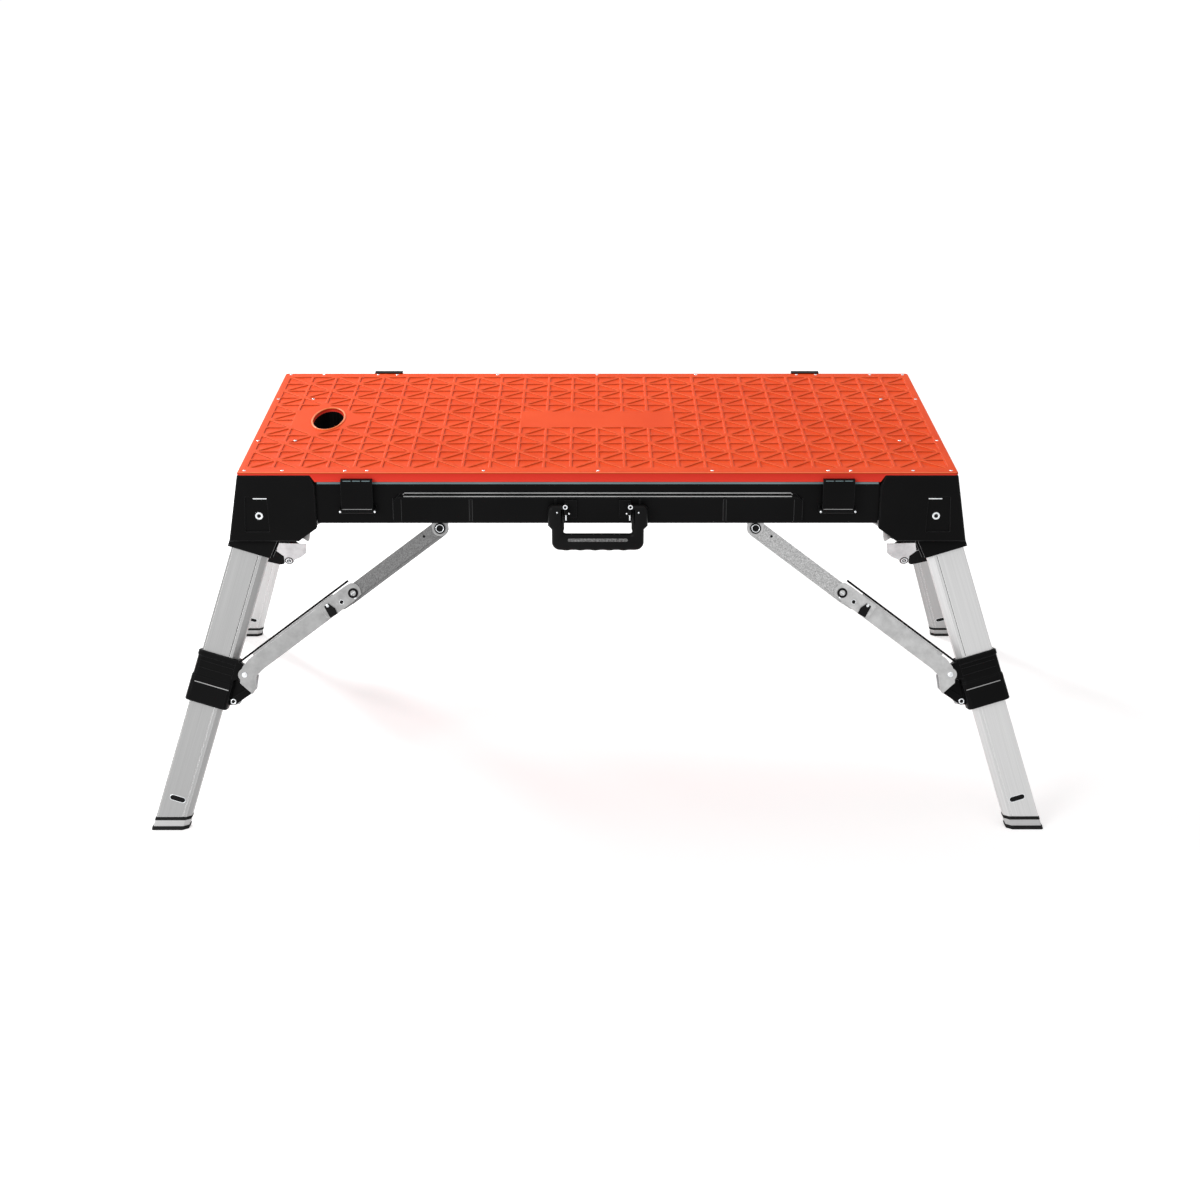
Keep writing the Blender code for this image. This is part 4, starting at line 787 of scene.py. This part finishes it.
def stadium(half, radius, steps=7):
    """A slot's outline across a leg, against the clock: two half circles and the straights between."""
    turn = np.radians(np.linspace(-90, 90, steps))
    right = np.column_stack([half + radius * np.cos(turn), radius * np.sin(turn)])
    return np.concatenate([right, -right])


for tag in CORNERS:
    aluminium = drawn_aluminium(tag, TUBE_PAINTED_LIGHT[tag])
    dress((f"upper_tube_{tag}", f"lower_tube_{tag}"), aluminium)
    grooves = {"leg": [], "leg_slide": []}
    for (q, n), (s0, s1), body in zip(GROOVE_AT, GROOVE_RUN, grooves):
        for side in (-1, 1):
            # Black strips in the grooves: painted shade.
            line = plate(bar(-GROOVE_HW, GROOVE_HW, s0, s1), -0.0002, 0.0001, 0.00005)
            grooves[body].append(on_leg(tag, line, q, 0.0, side * (n - GROOVE_IN), side))
        piece(f"{body}_groove_{tag}", gather(grooves[body]), black_parts_and_painted_shade, f"{body}_{tag}")
    # A black plate fills the slot: painted shade.
    slots = [stadium(SLOT_HL - SLOT_R, SLOT_R + grow) for grow in (SLOT_LINER, *SLOT_RIM)]
    inlay = plate(slots[0], -0.0012, 0.0001, 0.00005)
    rim = slab([slots[1], slots[2][::-1]], [(0, -0.0003), (0, 0.0000), (0.0002, 0.0001)])
    slot_shade_plates, rims = ([on_leg(tag, shape, SLOT_Q, SLOT_S, side * TUBE_FACE, side) for side in (-1, 1)]
                   for shape in (inlay, rim))
    piece(f"slot_shade_{tag}", gather(slot_shade_plates), black_parts_and_painted_shade, f"leg_slide_{tag}")
    piece(f"slot_rim_{tag}", gather(rims), zinc, f"leg_slide_{tag}")

# Collars and lock levers
# Each collar is a stepped moulding with a ledge across it, drawn pale grey as a painted highlight. A wedge fills
# the corner over the lever's hinge, a steel plate lies on the inner side of it, and its pin is peened over a ring
# on both sides.
HINGE_Q, HINGE_S = -0.0416, 0.3317
WEDGE = [(-0.0350, 0.2985), (-0.0350, 0.3300), (-0.0430, 0.3300), (-0.0530, 0.3165), (-0.0550, 0.3060),
         (-0.0440, 0.2995)]
HINGE_PLATE = [(-0.0130, 0.2949), (-0.0149, 0.3149), (-0.0301, 0.3234), (-0.0345, 0.3370), (-0.0416, 0.3400),
               (-0.0490, 0.3370), (-0.0520, 0.3260), (-0.0617, 0.3165), (-0.0690, 0.3040), (-0.0655, 0.2818)]
PLATE_N = 0.0190                          # the steel plate's inner face, out from the leg's middle
CHEEK_N = 0.0096                          # the lever's outer cheek
COLLAR_Q = (-0.0300, 0.0270)
COLLAR_LINES = ((0.2735, 0.0172, 0.0003), (0.2803, 0.0161, 0.0003), (0.2915, 0.0161, 0.0003),
                (0.3157, 0.0168, 0.0007))    # place down the leg, height out of it and half width
dull_plate = metal("light_steel_plate", (0.50, 0.50, 0.51), (0.68, 0.68, 0.69), 45.0, 0.42, (0.9, 0.9, 0.9))
dress(("collar", "lever"), grained)
for tag in CORNERS:
    lines = [on_leg(tag, plate(bar(*COLLAR_Q, s - half_w, s + half_w), -0.0003, 0.0003, 0.0001), 0, 0,
                    side * n, side) for s, n, half_w in COLLAR_LINES for side in (-1, 1)]
    piece(f"collar_lines_{tag}", gather(lines[:6]), grained, f"leg_{tag}")
    # The ledge line is pale grey: painted highlight.
    piece(f"collar_ledge_highlight_{tag}", gather(lines[6:]), highlight_grey, f"leg_{tag}")
    wedge = slab([WEDGE[::-1]], [(0.0006, -0.0048), (0, -0.0042), (0, 0.0042), (0.0006, 0.0048)])
    piece(f"lever_wedge_{tag}", on_leg(tag, wedge), grained, f"leg_{tag}")
    hinge = slab([HINGE_PLATE[::-1]], [(0.0002, -PLATE_N), (0, 0.0002 - PLATE_N), (0, 0.0010 - PLATE_N),
                                       (0.0002, 0.0012 - PLATE_N)])
    piece(f"lever_hinge_plate_{tag}", on_leg(tag, hinge), dull_plate, f"leg_{tag}")
    bright = [on_leg(tag, ring(0.0037, 0.0011, 0.0010), HINGE_Q, HINGE_S, CHEEK_N),
              on_leg(tag, ring(0.0048, 0.0011, 0.0009), HINGE_Q, HINGE_S, -PLATE_N - 0.0004),
              on_leg(tag, dome(0.0018, 0.0012), HINGE_Q, HINGE_S, -PLATE_N - 0.0008, -1)]
    outer_heart = turned([(0.0030, -0.0004), (0.0030, 0.0003), (0.0018, 0.0005)])
    inner_heart = turned([(0.0040, -0.0006), (0.0040, 0.0005), (0.0034, 0.0009)])
    dark = [on_leg(tag, outer_heart, HINGE_Q, HINGE_S, CHEEK_N),
            on_leg(tag, inner_heart, HINGE_Q, HINGE_S, -PLATE_N, -1),
            on_leg(tag, ring(0.0074, 0.0009, 0.0005), HINGE_Q, HINGE_S, -PLATE_N)]
    piece(f"lever_pin_rings_{tag}", gather(bright), zinc, f"leg_{tag}")
    piece(f"lever_pin_hearts_{tag}", gather(dark), black_parts_and_painted_shade, f"leg_{tag}")

# Folding braces
# Two pressed steel links, riveted to the collar's lug and hung from the frame's ear. A black strip runs along
# the lower link's upper edge, and the lock plate over the middle carries a slotted screw and a sprung catch.
LINK_FACE, LOCK_FACE, BOSS_FACE, EAR_FACE = 0.0242, 0.0331, 0.0353, 0.0370
BOSS = (0.0235, 0.0005)
LINK_EDGE_STRIP = (0.0040, 0.2251, 0.0198, 0.0231)
LINK_EDGE_STRIP_LEVELS = [(0.0003, 0.0188), (0, 0.0191), (0, 0.0229), (0.0003, 0.0232)]
CATCH_LEVELS = [(0, 0.0335), (0, 0.0360), (0.0006, 0.0366)]
CATCH_HEAD, SMALL_HEAD, LINK_HOLE = (-0.0213, 0.0085, 0.0360), (0.0215, -0.0072), (-0.0286, 0.0050, 0.0309)
CATCH = [(-0.0295, -0.0090), (-0.0165, -0.0110), (-0.0145, -0.0010), (-0.0185, 0.0110), (-0.0265, 0.0110)]
KNOB = [(0.0088, -0.0004), (0.0088, 0.0016), (0.0080, 0.0024), (0.0036, 0.0024), (0.0030, 0.0018)]
# The left links get darker shades than the right ones: painted shade against the front-left lamp's light.
for sides, lower, upper in ((("fl", "rl"), 0.30, 0.10), (("fr", "rr"), 0.44, 0.25)):
    light = metal(f"light_zinc_link_{sides[0]}", [lower] * 3, [1.3 * lower] * 3, 60.0, 0.42,
                  (0.80, 0.80, 0.80))
    mottled = metal(f"mottled_zinc_link_{sides[0]}", [upper] * 3, [2.6 * upper] * 3, 520.0, 0.45,
                    [3.2 * upper] * 3)
    plated = metal(f"plated_steel_{sides[0]}", [lower] * 3, [1.4 * lower] * 3, 90.0, 0.38,
                   (0.88, 0.88, 0.88))
    for tag in sides:
        dress((f"brace_lower_{tag}",), light)
        dress((f"brace_upper_{tag}",), mottled)
        dress((f"brace_lock_{tag}", f"brace_ear_{tag}", f"brace_pin_{tag}", f"fold_pin_{tag}"), plated)


def brace_frames():
    """For each corner: collar pivot, middle, ear pivot, and rows up the link, across it, out of its face."""
    joints = {joint["name"]: np.array(joint["pos_m"]) for joint in frame["joints"] if "pos_m" in joint}
    found = {}
    for tag in CORNERS:
        lug, ear = joints[f"brace_lower_swing_{tag}"], joints[f"brace_upper_swing_{tag}"]
        face = legs[tag][1][2]
        lug, ear = (point + face * ((legs[tag][0] - point) @ face) for point in (lug, ear))
        along = (ear - lug) / np.linalg.norm(ear - lug)
        across = np.cross(face, along)
        found[tag] = (lug, (lug + ear) / 2, ear, np.array([along, across * np.sign(across[2]), face]))
    return found


braces = brace_frames()


def on_brace(tag, shape, pivot, u=0.0, v=0.0, n=0.0):
    """A flat shape laid on a link: u up it from one of its three pivots, v across it, n out of its face."""
    rows = braces[tag][3]
    return at_spots(shape, [braces[tag][pivot] + np.array([u, v, n]) @ rows], rows)


LUG_AT, MIDDLE, EAR_AT = range(3)
for tag in CORNERS:
    piece(f"lug_rivet_{tag}", on_brace(tag, dome(0.0050, 0.0024), LUG_AT, n=LINK_FACE), zinc,
          f"lower_link_{tag}")
    strip = on_brace(tag, slab([bar(*LINK_EDGE_STRIP)], LINK_EDGE_STRIP_LEVELS), LUG_AT)
    piece(f"link_edge_strip_{tag}", strip, grained, f"lower_link_{tag}")
    catch = slab([CATCH], CATCH_LEVELS)
    pin_heart = turned([(0.0029, -0.0070), (0.0029, -0.0008), (0.0022, -0.0006)])
    black = [on_brace(tag, ring(0.0062, 0.0019, 0.0016), MIDDLE, *BOSS, BOSS_FACE - 0.0006),
             on_brace(tag, catch, MIDDLE),
             on_brace(tag, pin_heart, MIDDLE, n=LOCK_FACE)]
    piece(f"lock_black_parts_{tag}", gather(black), black_parts_and_painted_shade, f"upper_link_{tag}")
    slot = plate(bar(-0.0040, 0.0040, -0.0008, 0.0008), -0.0014, 0.0004, 0.0002)
    heads = [on_brace(tag, dome(0.0034, 0.0008), MIDDLE, *CATCH_HEAD),
             on_brace(tag, slot, MIDDLE, *BOSS, BOSS_FACE),
             on_brace(tag, dome(0.0026, 0.0020), MIDDLE, *SMALL_HEAD, LOCK_FACE),
             on_brace(tag, ring(0.0036, 0.0006, 0.0006), MIDDLE, n=LOCK_FACE)]
    piece(f"lock_bright_parts_{tag}", gather(heads), zinc, f"upper_link_{tag}")
    piece(f"ear_knob_{tag}", on_brace(tag, turned(KNOB), EAR_AT, n=EAR_FACE), black_parts_and_painted_shade, "frame")
    rim = on_brace(tag, ring(0.0060, 0.0007, 0.0006), EAR_AT, n=EAR_FACE + 0.0024)
    piece(f"ear_knob_ring_{tag}", rim, zinc, "frame")
    # Each link hole is a black plate: painted shade in the hole.
    hole = plate(stadium(0.0001, 0.0021), -0.0002, 0.0002, 0.0001)
    piece(f"link_hole_{tag}", on_brace(tag, hole, EAR_AT, *LINK_HOLE), black_parts_and_painted_shade,
          f"upper_link_{tag}")

# Feet
# Moulded in three layers: a black rubber sole, a pale grey pad and a black gasket where the tube ends.
FOOT_SPAN, SOLE_Z, PAD_Z = 0.05, 0.0056, 0.0150         # height of the ramp, the sole and the pad
foot_layers, shader, add, link = new_material("layered_foot")
place = add("ShaderNodeTexCoord")
parts = add("ShaderNodeSeparateXYZ")
height = add("ShaderNodeMapRange", From_Min=0.0, From_Max=FOOT_SPAN)
layers = add("ShaderNodeValToRGB")
layers.color_ramp.interpolation = "CONSTANT"
layers.color_ramp.elements[0].color = (0.010, 0.010, 0.010, 1)
layers.color_ramp.elements[1].position = SOLE_Z / FOOT_SPAN
layers.color_ramp.elements[1].color = (0.72, 0.72, 0.72, 1)
layers.color_ramp.elements.new(PAD_Z / FOOT_SPAN).color = (0.008, 0.008, 0.008, 1)
speck = add("ShaderNodeTexNoise", Scale=900.0, Detail=2.0)
bump = add("ShaderNodeBump", Strength=0.15, Distance=0.0003)
link(place, "Object", parts, "Vector")
link(parts, "Z", height, "Value")
link(height, "Result", layers, "Fac")
link(layers, "Color", shader, "Base Color")
link(place, "Object", speck, "Vector")
link(speck, "Fac", bump, "Height")
link(bump, "Normal", shader, "Normal")
shader.inputs["Roughness"].default_value = 0.6
shader.inputs["Specular IOR Level"].default_value = 0.15
dress(("foot",), foot_layers)

# Carry handle
# A swinging loop of satin black plastic with a crowned grip, ribbed underneath for the fingers. It hangs in
# two mounts on the front apron, each with a ringed screw and a small steel spring beside the loop's leg.
HANDLE_Y = (0.2848, 0.2993)
HANDLE_HW, HANDLE_IN = 0.0732, 0.0545
EAR_HW = 0.0792
HANDLE_TOP = 0.5195
GRIP_Z = (0.4443, 0.4713)
FINGERS = (-0.0500, -0.0272, -0.0044, 0.0184, 0.0412)
FINGER_HW, FINGER_UP = 0.0075, 0.0010
ELBOW_R, HEAD_R, THROAT_R, LIP_R = 0.0130, 0.008, 0.004, 0.002
LEG_IN_TOP = 0.0533
SHOULDER_Z = (0.4790, 0.4855)            # the ears' slanted shoulders start and end here
WAIST_Z = (0.4800, 0.4760)               # inside a leg, the small step to its wider part
UNDER_HW = 0.055                         # half length of the grip's ribbed underside


def elbow(x, z, radius, start, end, steps=7):
    """Points of a round corner about (x, z), from one angle to the other in degrees."""
    turn = np.radians(np.linspace(start, end, steps))
    return np.column_stack([x + radius * np.cos(turn), z + radius * np.sin(turn)])


def handle_edge():
    """The loop's outer edge: round elbows and heads, with low waves along its underside for the fingers."""
    along = np.linspace(-UNDER_HW, UNDER_HW, 89)
    waves = sum(np.clip(1 - ((along - x) / FINGER_HW) ** 2, 0, 1) for x in FINGERS)
    under = np.column_stack([along, GRIP_Z[0] - FINGER_UP * waves])
    low, wide, top = GRIP_Z[0] + ELBOW_R, HANDLE_HW - ELBOW_R, HANDLE_TOP - HEAD_R
    shoulder = np.array([(HANDLE_HW, SHOULDER_Z[0]), (EAR_HW, SHOULDER_Z[1])])
    right = np.concatenate([elbow(wide, low, ELBOW_R, -90, 0), shoulder,
                            elbow(EAR_HW - HEAD_R, top, HEAD_R, 0, 90),
                            elbow(LEG_IN_TOP + LIP_R, HANDLE_TOP - LIP_R, LIP_R, 90, 180, 4)])
    inside = np.array([(LEG_IN_TOP, WAIST_Z[0]), (HANDLE_IN, WAIST_Z[1])])
    throat = elbow(HANDLE_IN - THROAT_R, GRIP_Z[1] + THROAT_R, THROAT_R, 0, -90, 5)
    right = np.concatenate([right, inside, throat])
    left = right[::-1] * (-1, 1)
    return np.concatenate([under, right, left])


crown = [(0.0062, 0.0), (0.0026, 0.0012), (0.0006, 0.0036), (0.0, 0.0065), (0.0, 0.0085), (0.0006, 0.0110),
         (0.0024, 0.0131), (0.0052, 0.0145)]
satin = moulded_plastic("satin_black_handle", (0.0028, 0.0028, 0.0029), (0.0058, 0.0058, 0.0060),
                        (0.030, 0.030, 0.031), 0.0008, 0.30, 0.36, 0.09)
# Pale blotches on a dark ground for the grip's band: painted highlight.
painted_grip_highlight = metal("painted_grip_highlight", (0.008, 0.008, 0.008), (0.30, 0.30, 0.30), 380.0, 0.5, metallic=0.0)
loop_shape = at_spots(slab([handle_edge()], crown), [(0, -HANDLE_Y[0], 0)], TO_FRONT)
handle = piece("handle_loop", loop_shape, satin, "carry_handle", 50)
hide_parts("handle")
# The band along the grip's front is a painted highlight.
BAND_HW, BAND_R, BAND_Z = 0.0450, 0.0027, 0.4628
band = slab([stadium(BAND_HW, BAND_R)], [(0, -0.0030), (0, 0.0000), (0.0008, 0.0003)])
band = at_spots(band, [(0, -HANDLE_Y[1], BAND_Z)], TO_FRONT)
piece("grip_highlight_band", band, painted_grip_highlight, "carry_handle")
MOUNT_Y = 0.2992
MOUNT_SCREW, MOUNT_STUDS, SPRING_AT = (0.0515, 0.5182), ((0.0645, 0.5092), (0.0455, 0.5075)), (0.0505, 0.5005)
rings = [at_spots(ring(0.0030, 0.0010, 0.0008), [(end * MOUNT_SCREW[0], -MOUNT_Y, MOUNT_SCREW[1])], TO_FRONT)
         for end in (-1, 1)]
rings += [at_spots(dome(0.0015, 0.0011), [(end * x, -MOUNT_Y, z)], TO_FRONT)
          for end in (-1, 1) for x, z in MOUNT_STUDS]
piece("handle_screw_rings", gather(rings), zinc, "frame")
springs = [at_spots(plate(bar(-0.0011, 0.0011, -0.0045, 0.0045), -0.0006, 0.0008, 0.0004),
                    [(end * SPRING_AT[0], -MOUNT_Y, SPRING_AT[1])], TO_FRONT) for end in (-1, 1)]
piece("handle_springs", gather(springs), zinc, "frame")
